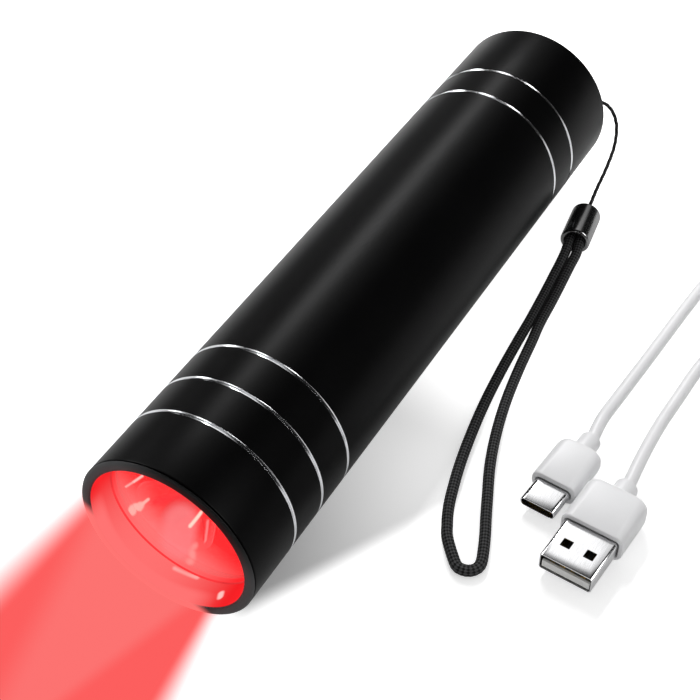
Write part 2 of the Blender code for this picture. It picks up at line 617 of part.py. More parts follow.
def make_driver():
    disc("driver_board", BOARD_RADIUS, DRIVER_FRONT, DRIVER_BACK, board_green())
    mouth_y = -BODY_RADIUS + SOCKET_MOUTH_DEPTH
    place = Matrix.Translation((FRONT_X - SOCKET_MIDDLE, mouth_y + SOCKET_LENGTH / 2, AXIS_HEIGHT))
    turn = Matrix.Rotation(-pi / 2, 4, "Z")  # the socket's own +X points out of its mouth
    corner = SOCKET_CORNER_RADIUS
    socket = box("usb_socket", (SOCKET_LENGTH, SOCKET_HEIGHT, SOCKET_WIDTH), plated_steel(),
                 place @ turn, corner, only_x=True)
    hollow_place = Matrix.Translation((0.0, -SOCKET_WALL - SOCKET_LENGTH / 4, 0.0)) @ place @ turn
    hollow = box("socket_cut", (SOCKET_LENGTH, SOCKET_HEIGHT - 2 * SOCKET_WALL,
                                SOCKET_WIDTH - 2 * SOCKET_WALL), None, hollow_place,
                 corner - SOCKET_WALL, only_x=True)
    boolean(socket, hollow)
    tongue_length = SOCKET_LENGTH - 2 * CLEARANCE
    tongue_place = Matrix.Translation((0.0, CLEARANCE / 2, 0.0)) @ place @ turn
    tongue = box("socket_tongue", (tongue_length, TONGUE_HEIGHT, TONGUE_WIDTH), None, tongue_place)
    boolean(socket, tongue, "UNION")
    spacer = ring("board_spacer", BOARD_RADIUS - BOARD_SPACER_WALL, BOARD_RADIUS, SPACER_FRONT,
                  SPACER_BACK, white_plastic())
    gap = box("spacer_cut", (2 * (SPACER_BACK - SPACER_FRONT), BOARD_RADIUS,
                             SOCKET_WIDTH + 2 * CLEARANCE), None,
              Matrix.Translation((FRONT_X - SOCKET_MIDDLE, -BOARD_RADIUS, AXIS_HEIGHT)))
    boolean(spacer, gap)
    disc("contact_board", BOARD_RADIUS, CONTACT_BOARD_FRONT, CONTACT_BOARD_BACK, board_green())
    disc("positive_contact", CONTACT_RADIUS, CONTACT_FRONT, CONTACT_FRONT + CONTACT_THICKNESS,
         brass(), sides=SMALL_SIDES)


def make_cell():
    profile = [(0.0, CELL_TOP), (POLE_RADIUS, CELL_TOP), (POLE_RADIUS, CELL_TOP + POLE_HEIGHT),
               (CELL_RADIUS, CELL_TOP + POLE_HEIGHT), (CELL_RADIUS, CELL_BOTTOM), (0.0, CELL_BOTTOM)]
    turned("battery_cell", profile, material("cell_sleeve", (0.05, 0.12, 0.3), 0.0, 0.35),
           closed=False)


def make_port_flap():
    """Rubber cover, flush with the body, with a plug that fills the window."""
    rubber = black_rubber()
    reach = 2 * (BODY_RADIUS - BORE_RADIUS)
    hinge = Matrix.Translation((FRONT_X - FLAP_HINGE_DEPTH, FLAP_HINGE_Y, AXIS_HEIGHT))
    inner = BODY_RADIUS - FLAP_THICKNESS
    around = Matrix.Translation((FRONT_X - SOCKET_MIDDLE, -BODY_RADIUS, AXIS_HEIGHT))
    band = (SOCKET_MIDDLE - FLAP_LENGTH, SOCKET_MIDDLE + FLAP_LENGTH)
    flap = ring("port_flap", inner, BODY_RADIUS, *band, rubber, sides=BODY_SIDES)
    patch = box("flap_patch", (FLAP_LENGTH, 2 * reach, FLAP_HEIGHT), None, around)
    boolean(flap, patch, "INTERSECT")
    plug = ring("flap_plug", inner - FLAP_PLUG_DEPTH, inner + FLAP_THICKNESS / 2, *band, None,
                sides=BODY_SIDES)
    plug_patch = box("plug_patch", (FLAP_PLUG_WIDTH, 2 * reach, FLAP_PLUG_HEIGHT), None, around)
    boolean(plug, plug_patch, "INTERSECT")
    boolean(flap, plug, "UNION")
    pivot = bpy.data.objects.new("port_flap_hinge", None)
    collection.objects.link(pivot)
    pivot.matrix_world = hinge
    rest = flap.matrix_world.copy()
    flap.parent = pivot
    flap.matrix_parent_inverse = hinge.inverted()
    flap.matrix_world = rest


def make_tail_cap():
    start = PARTING + CLEARANCE / 2
    lip = (GROOVE_WIDTH - CLEARANCE) / 2
    chamber = TAIL_WALL_FRONT - TAIL_CHAMBER_LENGTH
    ring_at = SPIGOT_END + O_RING_FROM_SPIGOT_END
    seat = O_RING_WIRE_RADIUS + CLEARANCE
    profile = [(TAIL_BORE_RADIUS, SPIGOT_END), (SPIGOT_RADIUS, SPIGOT_END),
               (SPIGOT_RADIUS, ring_at - seat), (SPIGOT_RADIUS - O_RING_GROOVE_DEPTH, ring_at - seat),
               (SPIGOT_RADIUS - O_RING_GROOVE_DEPTH, ring_at + seat), (SPIGOT_RADIUS, ring_at + seat),
               (SPIGOT_RADIUS, start), (BODY_RADIUS - GROOVE_DEPTH, start),
               (BODY_RADIUS, start + lip), (BODY_RADIUS, BODY_LENGTH - RIM_CHAMFER),
               (BODY_RADIUS - RIM_CHAMFER, BODY_LENGTH), (BUTTON_HOLE_RADIUS, BODY_LENGTH),
               (BUTTON_HOLE_RADIUS, TAIL_WALL_FRONT), (TAIL_CHAMBER_RADIUS, TAIL_WALL_FRONT),
               (TAIL_CHAMBER_RADIUS, chamber), (TAIL_BORE_RADIUS, chamber)]
    cap = turned("tail_cap", profile, black_anodised(), sides=BODY_SIDES)
    hole = disc("lanyard_cut", LANYARD_HOLE_RADIUS, TAIL_WALL_FRONT - OVERRUN, BODY_LENGTH + OVERRUN,
                None, along_wand(0.0, LANYARD_HOLE_Y, LANYARD_HOLE_RISE), SMALL_SIDES)
    boolean(cap, hole)
    wire = O_RING_WIRE_RADIUS
    middle = SPIGOT_RADIUS - wire
    turns = [2 * pi * i / O_RING_SECTION_SIDES for i in range(O_RING_SECTION_SIDES)]
    circle = [(middle + wire * sin(turn), ring_at - wire * cos(turn)) for turn in turns]
    turned("tail_o_ring", circle, black_rubber())


def make_tail_spring():
    route = []
    count = SPRING_TURNS * SPRING_POINTS_PER_TURN
    low = SPRING_FRONT + SPRING_WIRE_RADIUS
    high = SPRING_BACK - SPRING_WIRE_RADIUS
    for i in range(count + 1):
        t = i / count
        angle = 2 * pi * SPRING_TURNS * t
        radius = SPRING_TOP_RADIUS + (SPRING_RADIUS - SPRING_TOP_RADIUS) * t
        route.append((FRONT_X - low - (high - low) * t, radius * cos(angle),
                      AXIS_HEIGHT + radius * sin(angle)))
    tube("battery_spring", route, SPRING_WIRE_RADIUS, brass(), resolution=1)


def make_switch():
    disc("switch_board", SWITCH_BOARD_RADIUS, SWITCH_BOARD_FRONT, SWITCH_BOARD_BACK, board_green())
    ring("switch_retainer", SWITCH_BOARD_RADIUS - RETAINER_WIDTH, SWITCH_BOARD_RADIUS,
         RETAINER_FRONT, RETAINER_BACK, brass())
    profile = [(0.0, SWITCH_FRONT), (SWITCH_RADIUS, SWITCH_FRONT), (SWITCH_RADIUS, SWITCH_BACK),
               (PLUNGER_BORE_RADIUS, SWITCH_BACK),
               (PLUNGER_BORE_RADIUS, PLUNGER_FRONT - BUTTON_TRAVEL - CLEARANCE),
               (0.0, PLUNGER_FRONT - BUTTON_TRAVEL - CLEARANCE)]
    turned("switch_body", profile, black_plastic(), sides=SMALL_SIDES, closed=False)
    disc("switch_plunger", PLUNGER_RADIUS, PLUNGER_FRONT, PLUNGER_BACK, white_plastic(),
         sides=SMALL_SIDES)
    inset = BUTTON_BACK - BUTTON_CROWN
    profile = [(0.0, BUTTON_STEM_FRONT), (PLUNGER_RADIUS, BUTTON_STEM_FRONT),
               (PLUNGER_RADIUS, BUTTON_FLANGE_FRONT), (BUTTON_FLANGE_RADIUS, BUTTON_FLANGE_FRONT),
               (BUTTON_FLANGE_RADIUS, BUTTON_FLANGE_BACK), (BUTTON_RADIUS, BUTTON_FLANGE_BACK),
               (BUTTON_RADIUS, inset), (BUTTON_RADIUS - BUTTON_CROWN, BUTTON_BACK),
               (0.0, BUTTON_BACK)]
    turned("power_button", profile, black_rubber(), closed=False)


def make_strap():
    hole = Vector((-FRONT_X, LANYARD_HOLE_Y, AXIS_HEIGHT + LANYARD_HOLE_RISE))
    start = hole + Vector((TAIL_WALL + STRING_INSIDE, 0.0, 0.0))
    route = [start, hole - Vector((STRING_STRAIGHT, 0.0, 0.0))]
    route += [from_tail(point) for point in STRING_ROUTE]
    tube("strap_string", smooth_route(route, STRING_STEP_SHARE * STRING_DIAMETER),
         STRING_DIAMETER / 2, material("strap_string", (0.02, 0.02, 0.02), 0.0, 0.6))
    mesh = bpy.data.meshes.new("string_knot")
    work = bmesh.new()
    bmesh.ops.create_uvsphere(work, u_segments=SMALL_SIDES, v_segments=SMALL_SIDES // 2,
                              radius=KNOT_RADIUS)
    work.to_mesh(mesh)
    work.free()
    knot = add_object("string_knot", mesh, material("strap_string", (0.02, 0.02, 0.02)))
    knot.location = start + Vector((KNOT_RADIUS + CLEARANCE, 0.0, 0.0))
    mesh.shade_smooth()
    reach = BEAD_MOUTH - BEAD_HEAD
    lean = (-reach).to_track_quat("Z", "Y").to_matrix().to_4x4()
    place = Matrix.Translation(from_tail(BEAD_HEAD)) @ lean
    length = reach.length
    mouth = length - BEAD_CORD_HOLE_DEPTH
    profile = [(BEAD_RADIUS - BEAD_HEAD_CHAMFER, 0.0), (BEAD_RADIUS, BEAD_HEAD_CHAMFER),
               (BEAD_RADIUS, length - BEAD_MOUTH_CHAMFER),
               (BEAD_RADIUS - BEAD_MOUTH_CHAMFER, length), (BEAD_CORD_HOLE_RADIUS, length),
               (BEAD_CORD_HOLE_RADIUS, mouth), (BEAD_STRING_HOLE_RADIUS, mouth),
               (BEAD_STRING_HOLE_RADIUS, 0.0)]
    turned("strap_bead", profile, material("bead_plastic", (0.012, 0.012, 0.012), 0.0, 0.12), place,
           PART_SIDES // 2)
    route = [from_tail(point) for point in STRAP_ROUTE]
    tube("strap_loop", smooth_route(route, STRAP_STEP_SHARE * STRAP_DIAMETER), STRAP_DIAMETER / 2,
         material("strap_braid", (0.02, 0.02, 0.021), 0.0, 0.8))


def plug_place(tip, turn, back):
    """Place for a plug's piece: its own +X points out of the plug, at a distance behind the tip."""
    lean = Matrix.Rotation(turn - pi, 4, "Z")
    return Matrix.Translation(from_tail(tip)) @ lean @ Matrix.Translation((-back, 0.0, 0.0))


def neck(name, radius, length, tip, turn, back):
    """Round strain relief, which becomes part of the grip."""
    place = plug_place(tip, turn, back) @ Matrix.Rotation(pi / 2, 4, "Y")
    return disc(name, radius, -OVERRUN, length, None, place, SMALL_SIDES)


def plug_shell(name, tip, turn, width, height, length, wall, corner):
    """A metal shell, open at the tip and closed behind the insulator."""
    shell = box(name, (length, width, height), plated_steel(), plug_place(tip, turn, length / 2),
                corner, only_x=True)
    cut = box(f"{name}_cut", (length, width - 2 * wall, height - 2 * wall), None,
              plug_place(tip, turn, length / 2 - 2 * wall), corner - wall, only_x=True)
    return boolean(shell, cut)


def grip(name, tip, turn, width, height, start, length, neck_radius, neck_length, shell):
    """A moulded grip with its neck, and a pocket that the metal shell stands in."""
    body = box(name, (length, width, height), white_plastic(),
               plug_place(tip, turn, start + length / 2), height * GRIP_CORNER_SHARE, only_x=True)
    relief = neck(f"{name}_neck", neck_radius, neck_length, tip, turn, start + length)
    boolean(body, relief, "UNION")
    shell_width, shell_height, shell_corner = shell
    pocket_length = 2 * (PLUG_SEAT_DEPTH + CLEARANCE)
    pocket = box(f"{name}_pocket", (pocket_length, shell_width + 2 * CLEARANCE,
                                    shell_height + 2 * CLEARANCE), None,
                 plug_place(tip, turn, start), shell_corner, only_x=True)
    boolean(body, pocket)


def make_lead():
    shell_length = C_SHELL_LENGTH + PLUG_SEAT_DEPTH
    plug_shell("usb_c_shell", C_TIP, C_TURN, C_SHELL_WIDTH, C_SHELL_HEIGHT, shell_length,
               C_SHELL_WALL, C_SHELL_CORNER)
    core_back = shell_length - 2 * C_SHELL_WALL - CLEARANCE
    margin = C_SHELL_WALL + CLEARANCE
    size = (C_CORE_LENGTH, C_SHELL_WIDTH - 2 * margin, C_SHELL_HEIGHT - 2 * margin)
    box("usb_c_core", size, black_plastic(),
        plug_place(C_TIP, C_TURN, core_back - C_CORE_LENGTH / 2), C_SHELL_CORNER - margin, only_x=True)
    grip("usb_c_grip", C_TIP, C_TURN, C_GRIP_WIDTH, C_GRIP_HEIGHT, C_SHELL_LENGTH, C_GRIP_LENGTH,
         C_NECK_RADIUS, C_NECK_LENGTH, (C_SHELL_WIDTH, C_SHELL_HEIGHT, C_SHELL_CORNER))
    shell_length = A_SHELL_LENGTH + PLUG_SEAT_DEPTH
    shell = plug_shell("usb_a_shell", A_TIP, A_TURN, A_SHELL_WIDTH, A_SHELL_HEIGHT, shell_length,
                       A_SHELL_WALL, A_SHELL_CORNER)
    for number, side in ((1, -1), (2, 1)):
        middle = Matrix.Translation((0.0, side * A_WINDOW_SPREAD / 2, 0.0))
        window = box(f"usb_a_window_{number}", (A_WINDOW_SIDE, A_WINDOW_SIDE, 2 * A_SHELL_HEIGHT),
                     None, plug_place(A_TIP, A_TURN, A_WINDOW_FROM_TIP) @ middle)
        boolean(shell, window)
    block_length = shell_length - 2 * A_SHELL_WALL - 2 * CLEARANCE
    inside = A_SHELL_HEIGHT / 2 - A_SHELL_WALL - CLEARANCE
    drop = Matrix.Translation((0.0, 0.0, -inside + A_BLOCK_HEIGHT / 2))
    width = A_SHELL_WIDTH - 2 * A_SHELL_WALL - 2 * CLEARANCE
    box("usb_a_block", (block_length, width, A_BLOCK_HEIGHT), white_plastic(),
        plug_place(A_TIP, A_TURN, CLEARANCE + block_length / 2) @ drop)
    grip("usb_a_grip", A_TIP, A_TURN, A_GRIP_WIDTH, A_GRIP_HEIGHT, A_SHELL_LENGTH, A_GRIP_LENGTH,
         A_NECK_RADIUS, A_NECK_LENGTH, (A_SHELL_WIDTH, A_SHELL_HEIGHT, A_SHELL_CORNER))
    route = [from_tail(point) for point in CABLE_ROUTE]
    tube("lead_cable", smooth_route(route, CABLE_STEP_SHARE * CABLE_DIAMETER), CABLE_DIAMETER / 2,
         white_plastic())


def main():
    global collection, cutters
    clear_scene()
    collection = new_collection("red_light_wand")
    cutters = new_collection("cutters")
    make_barrel()
    make_bezel()
    make_lens()
    make_reflector()
    make_leds()
    make_light_board()
    make_driver()
    make_cell()
    make_port_flap()
    make_tail_cap()
    make_tail_spring()
    make_switch()
    make_strap()
    make_lead()


main()
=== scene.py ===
"""Red light therapy wand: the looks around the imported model.

The file is laid out as a Blender add-on and is run as a script. Metres, +Z up. X runs along the
wand, with the head towards +X, and a depth is the distance behind the front of the head.
"""
from functools import partial
from math import cos, pi, sin, tau

import bmesh
import bpy
from bpy.props import FloatProperty, FloatVectorProperty, PointerProperty
from mathutils import Matrix, Vector


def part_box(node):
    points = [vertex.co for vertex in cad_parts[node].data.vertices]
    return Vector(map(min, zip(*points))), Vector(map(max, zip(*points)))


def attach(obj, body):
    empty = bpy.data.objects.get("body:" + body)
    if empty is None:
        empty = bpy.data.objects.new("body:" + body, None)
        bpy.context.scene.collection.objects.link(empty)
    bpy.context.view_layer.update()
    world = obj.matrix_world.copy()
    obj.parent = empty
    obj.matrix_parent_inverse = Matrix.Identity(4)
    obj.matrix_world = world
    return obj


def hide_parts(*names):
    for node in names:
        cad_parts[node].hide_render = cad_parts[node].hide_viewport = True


bl_info = {
    "name": "Red light wand",
    "version": (1, 0, 0),
    "blender": (4, 5, 0),
    "location": "View3D > Sidebar > Wand",
    "description": "Makes the wand's outer pieces, its finishes and a plain studio",
    "category": "Object",
}

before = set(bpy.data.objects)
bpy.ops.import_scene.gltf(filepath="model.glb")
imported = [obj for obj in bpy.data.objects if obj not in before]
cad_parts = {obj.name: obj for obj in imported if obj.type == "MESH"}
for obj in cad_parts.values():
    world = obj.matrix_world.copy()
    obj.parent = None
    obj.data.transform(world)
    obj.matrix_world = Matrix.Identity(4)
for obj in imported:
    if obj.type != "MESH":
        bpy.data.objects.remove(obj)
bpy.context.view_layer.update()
FRONT_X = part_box("bezel_ring")[1].x
FLAP_X = (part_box("port_flap")[0].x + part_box("port_flap")[1].x) / 2
AXIS_HEIGHT = (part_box("bezel_ring")[0].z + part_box("bezel_ring")[1].z) / 2
BODY_RADIUS = AXIS_HEIGHT  # the fine round body touches the floor
CUP_TURN = 1.92  # direction of the first cup, from +Y towards +Z
# The painted glow in the head and on its ring is laid out round this side
GLOW_TURN = 4.154  # side of the head that the beam covers, from +Y towards +Z
# Colour of the beam's core, painted as glow on the floor and on the ring's face
BEAM_CORE = (0.98, 0.171, 0.165, 1.0)
BLACK, WHITE = (0.0, 0.0, 0.0, 1.0), (1.0, 1.0, 1.0, 1.0)
BRIGHT_METAL = (0.78, 0.79, 0.81)  # bare metal of the turned grooves
CREASE = pi / 6  # faces that meet at more than this angle keep a sharp edge
PAST = 0.001  # how far a cutter runs past what it cuts
HEAD_BORE = 0.0189  # radius of the barrel's bore round the light
RING_BACK, CUPS_FRONT = 0.0065, 0.0102  # depths of the front ring's skirt and the reflector
GROOVE_DEPTHS = (0.0152, 0.0254, 0.0356, 0.1359)  # middles of the barrel's bright grooves
SHELL_WALL, SHELL_GAP = 0.0003, 0.0003  # wall of a plug's shell, and the room round it
SHELL_HOLD, GRIP_LENGTH = 0.0006, 0.0125  # what the grip covers of the shell, and its length

# Painted highlights in the head's painted red glow, each drawn as a streak of emission colour
PAINTED_GLINTS = (  # both ends as depth, y and z in mm, then width, softness, strength and colour
    ((13.3, -12.9, -9.9), (17.8, -9.2, -10.5), 1.6, 1.0, 0.8, (1.0, 0.025, 0.035)),
    ((14.2, -7.4, -14.0), (11.0, -6.0, -16.0), 5.0, 0.55, 0.85, (0.98, 0.215, 0.225)),
    ((10.9, -1.9, -15.0), (9.5, -2.4, -18.7), 1.4, 0.9, 0.7, (1.0, 0.33, 0.31)),
    ((10.2, -12.4, 1.7), (10.2, -15.0, -1.7), 0.45, 0.9, 0.95, (1.0, 0.58, 0.54)),
    ((10.2, -15.0, -1.7), (10.2, -17.3, -4.6), 0.40, 0.9, 0.85, (1.0, 0.45, 0.42)),
    ((12.3, -13.8, -8.7), (10.4, -14.5, -9.3), 0.65, 0.8, 0.95, (1.0, 0.50, 0.44)),
    ((10.3, -14.4, -9.2), (9.4, -15.9, -10.4), 1.4, 0.5, 0.95, (1.0, 0.46, 0.41)),
    ((17.1, -4.3, -12.2), (14.3, -5.2, -14.1), 0.65, 0.8, 1.0, (1.0, 0.74, 0.62)),
    ((15.7, -1.7, -12.0), (12.1, 0.1, -13.1), 0.75, 0.9, 0.7, (1.0, 0.30, 0.30)),
    ((16.2, -3.3, -12.6), (12.2, -0.4, -13.4), 0.30, 0.8, 0.8, (0.55, 0.013, 0.02)),
    ((5.7, -3.4, -17.2), (6.2, 1.6, -17.6), 0.80, 0.9, 0.95, (1.0, 0.40, 0.38)),
    ((3.9, 9.1, -15.2), (3.0, 9.5, -14.9), 1.05, 0.7, 1.0, (1.0, 0.55, 0.52)),
)


def laid(rest, points):
    """A cord's route in metres from points in mm, which lie at the resting height where they
    give none of their own."""
    return tuple((x / 1000, y / 1000, (*height, rest)[0] / 1000) for x, y, *height in points)


STRING_ROUTE = laid(3.8, (  # from the knot inside the tail cap to the bead
    (-79.3, 13.9, 22.86), (-84.3, 13.9, 22.86), (-87.1, 15.3, 22.7), (-89.0, 18.8, 20.7),
    (-88.9, 21.4, 16.7), (-86.1, 22.8, 12.1), (-81.3, 23.1, 7.9), (-76.3, 23.1, 5.0),
    (-71.3, 23.7, 4.0), (-66.47, 24.5), (-61.5, 25.2),
))
STRAP_ROUTE = laid(1.3, (  # out of the bead's mouth, round the loop and back in
    (-56.98, 24.59, 3.75), (-54.21, 25.0, 3.68), (-50.8, 25.65, 3.3), (-46.9, 26.04, 2.7),
    (-42.9, 26.3, 2.1), (-38.9, 26.6, 1.6), (-34.0, 27.0), (-26.0, 27.7), (-18.2, 28.2),
    (-8.1, 29.0), (2.9, 30.2), (13.1, 31.8), (22.8, 33.75), (31.06, 35.95), (35.54, 37.46),
    (38.98, 39.0), (42.09, 40.72), (46.88, 44.93), (47.59, 46.56), (47.17, 48.28), (45.8, 49.41),
    (44.03, 49.49), (40.82, 48.42), (37.16, 46.95), (33.01, 45.11), (27.99, 42.97), (19.5, 39.45),
    (10.4, 36.55), (0.6, 34.2), (-10.0, 32.4), (-19.9, 31.1), (-26.3, 30.17), (-34.3, 29.5),
    (-39.2, 29.1, 1.6), (-43.2, 28.8, 2.1), (-47.2, 28.52, 2.7), (-51.2, 28.3, 3.3),
    (-54.59, 27.57, 3.68), (-57.36, 27.16, 3.75),
))
CABLE_ROUTE = laid(1.6, (  # from behind the USB-C plug, out past the view, and back
    (2.86, 56.07, 2.9), (-4.0, 55.6, 2.7), (-13.4, 56.0, 1.9), (-28.0, 57.0), (-50.0, 58.6),
    (-74.0, 60.9), (-95.0, 63.9), (-113.0, 68.3), (-124.0, 75.0), (-127.0, 83.5), (-121.5, 90.5),
    (-111.0, 92.5), (-96.0, 89.5), (-79.0, 83.0), (-61.0, 75.6), (-45.0, 70.6), (-31.0, 68.4),
    (-20.4, 67.7), (-9.4, 67.2, 1.9), (1.4, 67.5, 3.0), (12.19, 68.22, 3.8),
))
# The two ends of the bead's axis
BEAD_HEAD = Vector((-0.06647, 0.0245, 0.0038))
BEAD_MOUTH = Vector((-0.05472, 0.02623, 0.0038))
# Where the tips of the two plugs lie, and which way the plugs point
C_TIP = Vector((0.0267, 0.0538, 0.0029))
C_TURN = pi - 0.095
A_TIP = Vector((0.0399, 0.0660, 0.0038))
A_TURN = pi - 0.080


class WandSizes(bpy.types.PropertyGroup):
    """Sizes of the body's turned details"""

    groove_width: FloatProperty(
        name="Groove width", description="Width of each bright turned groove",
        default=0.0008, unit="LENGTH")
    groove_depth: FloatProperty(
        name="Groove depth", description="Depth of each bright turned groove",
        default=0.0004, unit="LENGTH")
    edge_round: FloatProperty(
        name="Edge round", description="Rounding of the body's machined edges",
        default=0.0003, unit="LENGTH")
    body_color: FloatVectorProperty(
        name="Body colour", description="Colour of the anodised body",
        default=(0.001, 0.001, 0.0011), size=3, subtype="COLOR")
    glow_color: FloatVectorProperty(
        name="Glow colour", description="Colour of the red light",
        default=(1.0, 0.045, 0.05), size=3, subtype="COLOR")


class StrapSizes(bpy.types.PropertyGroup):
    """Sizes of the wrist strap"""

    cord_diameter: FloatProperty(
        name="Braid diameter", description="Thickness of the braided loop",
        default=0.00255, unit="LENGTH")
    braid_pitch: FloatProperty(
        name="Braid pitch", description="Length of one diamond of the braid",
        default=0.00085, unit="LENGTH")
    string_diameter: FloatProperty(
        name="String diameter", description="Thickness of the string in the tail",
        default=0.00095, unit="LENGTH")


class LeadSizes(bpy.types.PropertyGroup):
    """Sizes of the charging lead"""

    cable_diameter: FloatProperty(
        name="Cable diameter", description="Thickness of the charging cable",
        default=0.0030, unit="LENGTH")
    plastic_color: FloatVectorProperty(
        name="Plastic colour", description="Colour of the cable and the grips",
        default=(0.86, 0.86, 0.87), size=3, subtype="COLOR")


class StageSettings(bpy.types.PropertyGroup):
    """The studio"""

    key_glow: FloatProperty(
        name="Key strip", description="Brightness of the long strip light over the wand",
        default=38.0, min=0.0)
    card_glow: FloatProperty(
        name="Soft card", description="Brightness of the wide soft light behind the strip",
        default=0.55, min=0.0)
    ambient: FloatProperty(
        name="Ambient", description="Even light from the studio's walls",
        default=0.55, min=0.0)


class Tree:
    """A node tree and the methods that add nodes to it."""

    def __init__(self, nodes):
        self.nodes = nodes

    def feed(self, node, inputs):
        """Fills a node's inputs, each with a value or with another node's output."""
        for name, value in inputs.items():
            if isinstance(value, Socket):
                self.nodes.links.new(value.output, node.inputs[name])
            else:
                node.inputs[name].default_value = value

    def node(self, kind, settings=None, inputs=None, output=0):
        made = self.nodes.nodes.new(kind)
        for name, value in (settings or {}).items():
            setattr(made, name, value)
        self.feed(made, inputs or {})
        return Socket(self, made.outputs[output])

    def vector(self, operation, *values, output=0):
        return self.node("ShaderNodeVectorMath", {"operation": operation},
                         dict(enumerate(values)), output)

    def scaled(self, vector, share):
        return self.node("ShaderNodeVectorMath", {"operation": "SCALE"},
                         {0: vector, "Scale": share})

    def place(self, output="Object"):
        return self.node("ShaderNodeTexCoord", output=output)

    def axes(self, output="Object"):
        """X, Y and Z of the place."""
        split = self.node("ShaderNodeSeparateXYZ", inputs={0: self.place(output)})
        return [Socket(self, part) for part in split.output.node.outputs]


class Socket:
    """An output in a node tree, on which Python's operators add Math nodes."""

    def __init__(self, tree, output):
        self.tree, self.output = tree, output

    def math(self, operation, *values):
        return self.tree.node("ShaderNodeMath", {"operation": operation},
                              dict(enumerate(values)))

    def __add__(self, other):
        return self.math("ADD", self, other)

    def __sub__(self, other):
        return self.math("SUBTRACT", self, other)

    def __rsub__(self, other):
        return self.math("SUBTRACT", other, self)

    def __mul__(self, other):
        return self.math("MULTIPLY", self, other)

    def __truediv__(self, other):
        return self.math("DIVIDE", self, other)

    __radd__ = __add__
    __rmul__ = __mul__

    def sine(self):
        return self.math("SINE", self)

    def size(self):
        return self.math("ABSOLUTE", self)

    def top(self, other):
        return self.math("MAXIMUM", self, other)

    def rise(self, low, high):
        """0 below low and 1 above high, with a smooth step between."""
        return self.tree.node("ShaderNodeMapRange", {"interpolation_type": "SMOOTHSTEP"},
                              {"Value": self, "From Min": low, "From Max": high})


class Finish(Tree):
    """A material with one Principled surface."""

    def __init__(self, name):
        self.material = bpy.data.materials.new(name)
        self.material.use_nodes = True
        super().__init__(self.material.node_tree)
        self.surface = self.nodes.nodes["Principled BSDF"]

    def noise(self, scale, detail=2.0, rough=0.5):
        return self.node("ShaderNodeTexNoise",
                         inputs={"Vector": self.place(), "Scale": scale, "Detail": detail,
                                 "Roughness": rough})

    def blend(self, share, first, second):
        """Colour between two others."""
        return self.node("ShaderNodeMix", {"data_type": "RGBA"},
                         {0: share, 6: first, 7: second}, output=2)

    def tinted(self, share, tone, change):
        """A colour that goes over into a lighter or darker tone of its own."""
        return self.blend(share, color(tone), color(tone, change))

    def bump(self, height, distance, strength):
        return self.node("ShaderNodeBump", inputs={"Height": height, "Distance": distance,
                                                   "Strength": strength})

    def streak(self, start, end, width, soft):
        """1 along a line in the head and 0 beyond its width, the mask of one painted glint, with
        both ends given as in the table of glints.
        """
        first, last = (Vector((FRONT_X - depth / 1000, y / 1000, AXIS_HEIGHT + z / 1000))
                       for depth, y, z in (start, end))
        line = last - first
        apart = self.vector("SUBTRACT", self.place(), first)
        along = self.node("ShaderNodeClamp", inputs={
            0: self.vector("DOT_PRODUCT", apart, line / line.length_squared, output=1)})
        off = self.vector("LENGTH", self.vector("SUBTRACT", apart, self.scaled(line, along)),
                          output=1)
        return 1.0 - (off * (1000 / width)).rise(1.0 - soft, 1.0)

    def set(self, values):
        self.feed(self.surface, values)
        return self.material


def color(values, share=1.0):
    return (*(min(1.0, value * share) for value in values[:3]), 1.0)


def anodised(name, tone):
    """Black anodised aluminium with the fine grain of bead blasting."""
    made = Finish(name)
    grain = made.noise(3800)
    cloud = made.noise(45, 3.0)
    return made.set({
        "Base Color": made.tinted(cloud.rise(0.35, 0.75), tone, 1.5), "IOR": 1.12,
        "Roughness": cloud * 0.05 + grain * 0.05 + 0.31,
        "Normal": made.bump(grain, 0.00003, 0.5)})


def glow_side(made, low, high):
    """How far a place lies on the side of the head where the beam leaves over it."""
    _, y, z = made.axes()
    side = (y * cos(GLOW_TURN) + (z - AXIS_HEIGHT) * sin(GLOW_TURN)) / BODY_RADIUS
    return side.rise(low, high)


def lit_rim(name, tone):
    """The front ring's black face, with the beam's glow painted on one side and painted shade
    towards the other.
    """
    made = Finish(name)
    grain = made.noise(3800)
    painted_beam_side = glow_side(made, 0.45, 0.62)
    # Painted shade: the face is darker towards the side away from the beam
    tint = made.blend(glow_side(made, -0.92, -0.45), color(tone, 0.12), color(tone))
    return made.set({
        "Base Color": made.blend(painted_beam_side, tint, BLACK), "IOR": 1.2,
        "Roughness": grain * 0.05 + 0.42, "Normal": made.bump(grain, 0.00002, 0.5),
        "Emission Color": made.blend(painted_beam_side, BLACK, BEAM_CORE), "Emission Strength": 1.0})


def turned_metal(name, tone, rough=0.12):
    """Bare metal with fine lathe lines round the wand's axis."""
    made = Finish(name)
    x, _, _ = made.axes()
    lines = (x * 60000).sine() * 0.5 + made.noise(2500)
    return made.set({
        "Base Color": made.tinted(made.noise(300).rise(0.3, 0.8), tone, 0.88),
        "Metallic": 1.0, "Roughness": lines * 0.05 + rough,
        "Normal": made.bump(lines, 0.00001, 0.35)})


def rubber(name, tone):
    made = Finish(name)
    grain = made.noise(5200, 3.0, 0.6)
    return made.set({
        "Base Color": made.tinted(grain.rise(0.3, 0.8), tone, 1.6),
        "Roughness": grain * 0.12 + 0.6, "IOR": 1.2, "Normal": made.bump(grain, 0.00004, 0.5)})


def moulded(name, tone, rough=0.38, sink=0.06, ior=1.5, grain=0.4):
    """Moulded plastic with a faint skin texture."""
    made = Finish(name)
    skin = made.noise(3600, 3.0)
    return made.set({
        "Base Color": made.tinted(made.noise(120).rise(0.3, 0.8), tone, 1.0 - sink),
        "Roughness": skin * 0.08 + (rough - 0.04), "IOR": ior,
        "Normal": made.bump(skin, 0.00001, grain)})


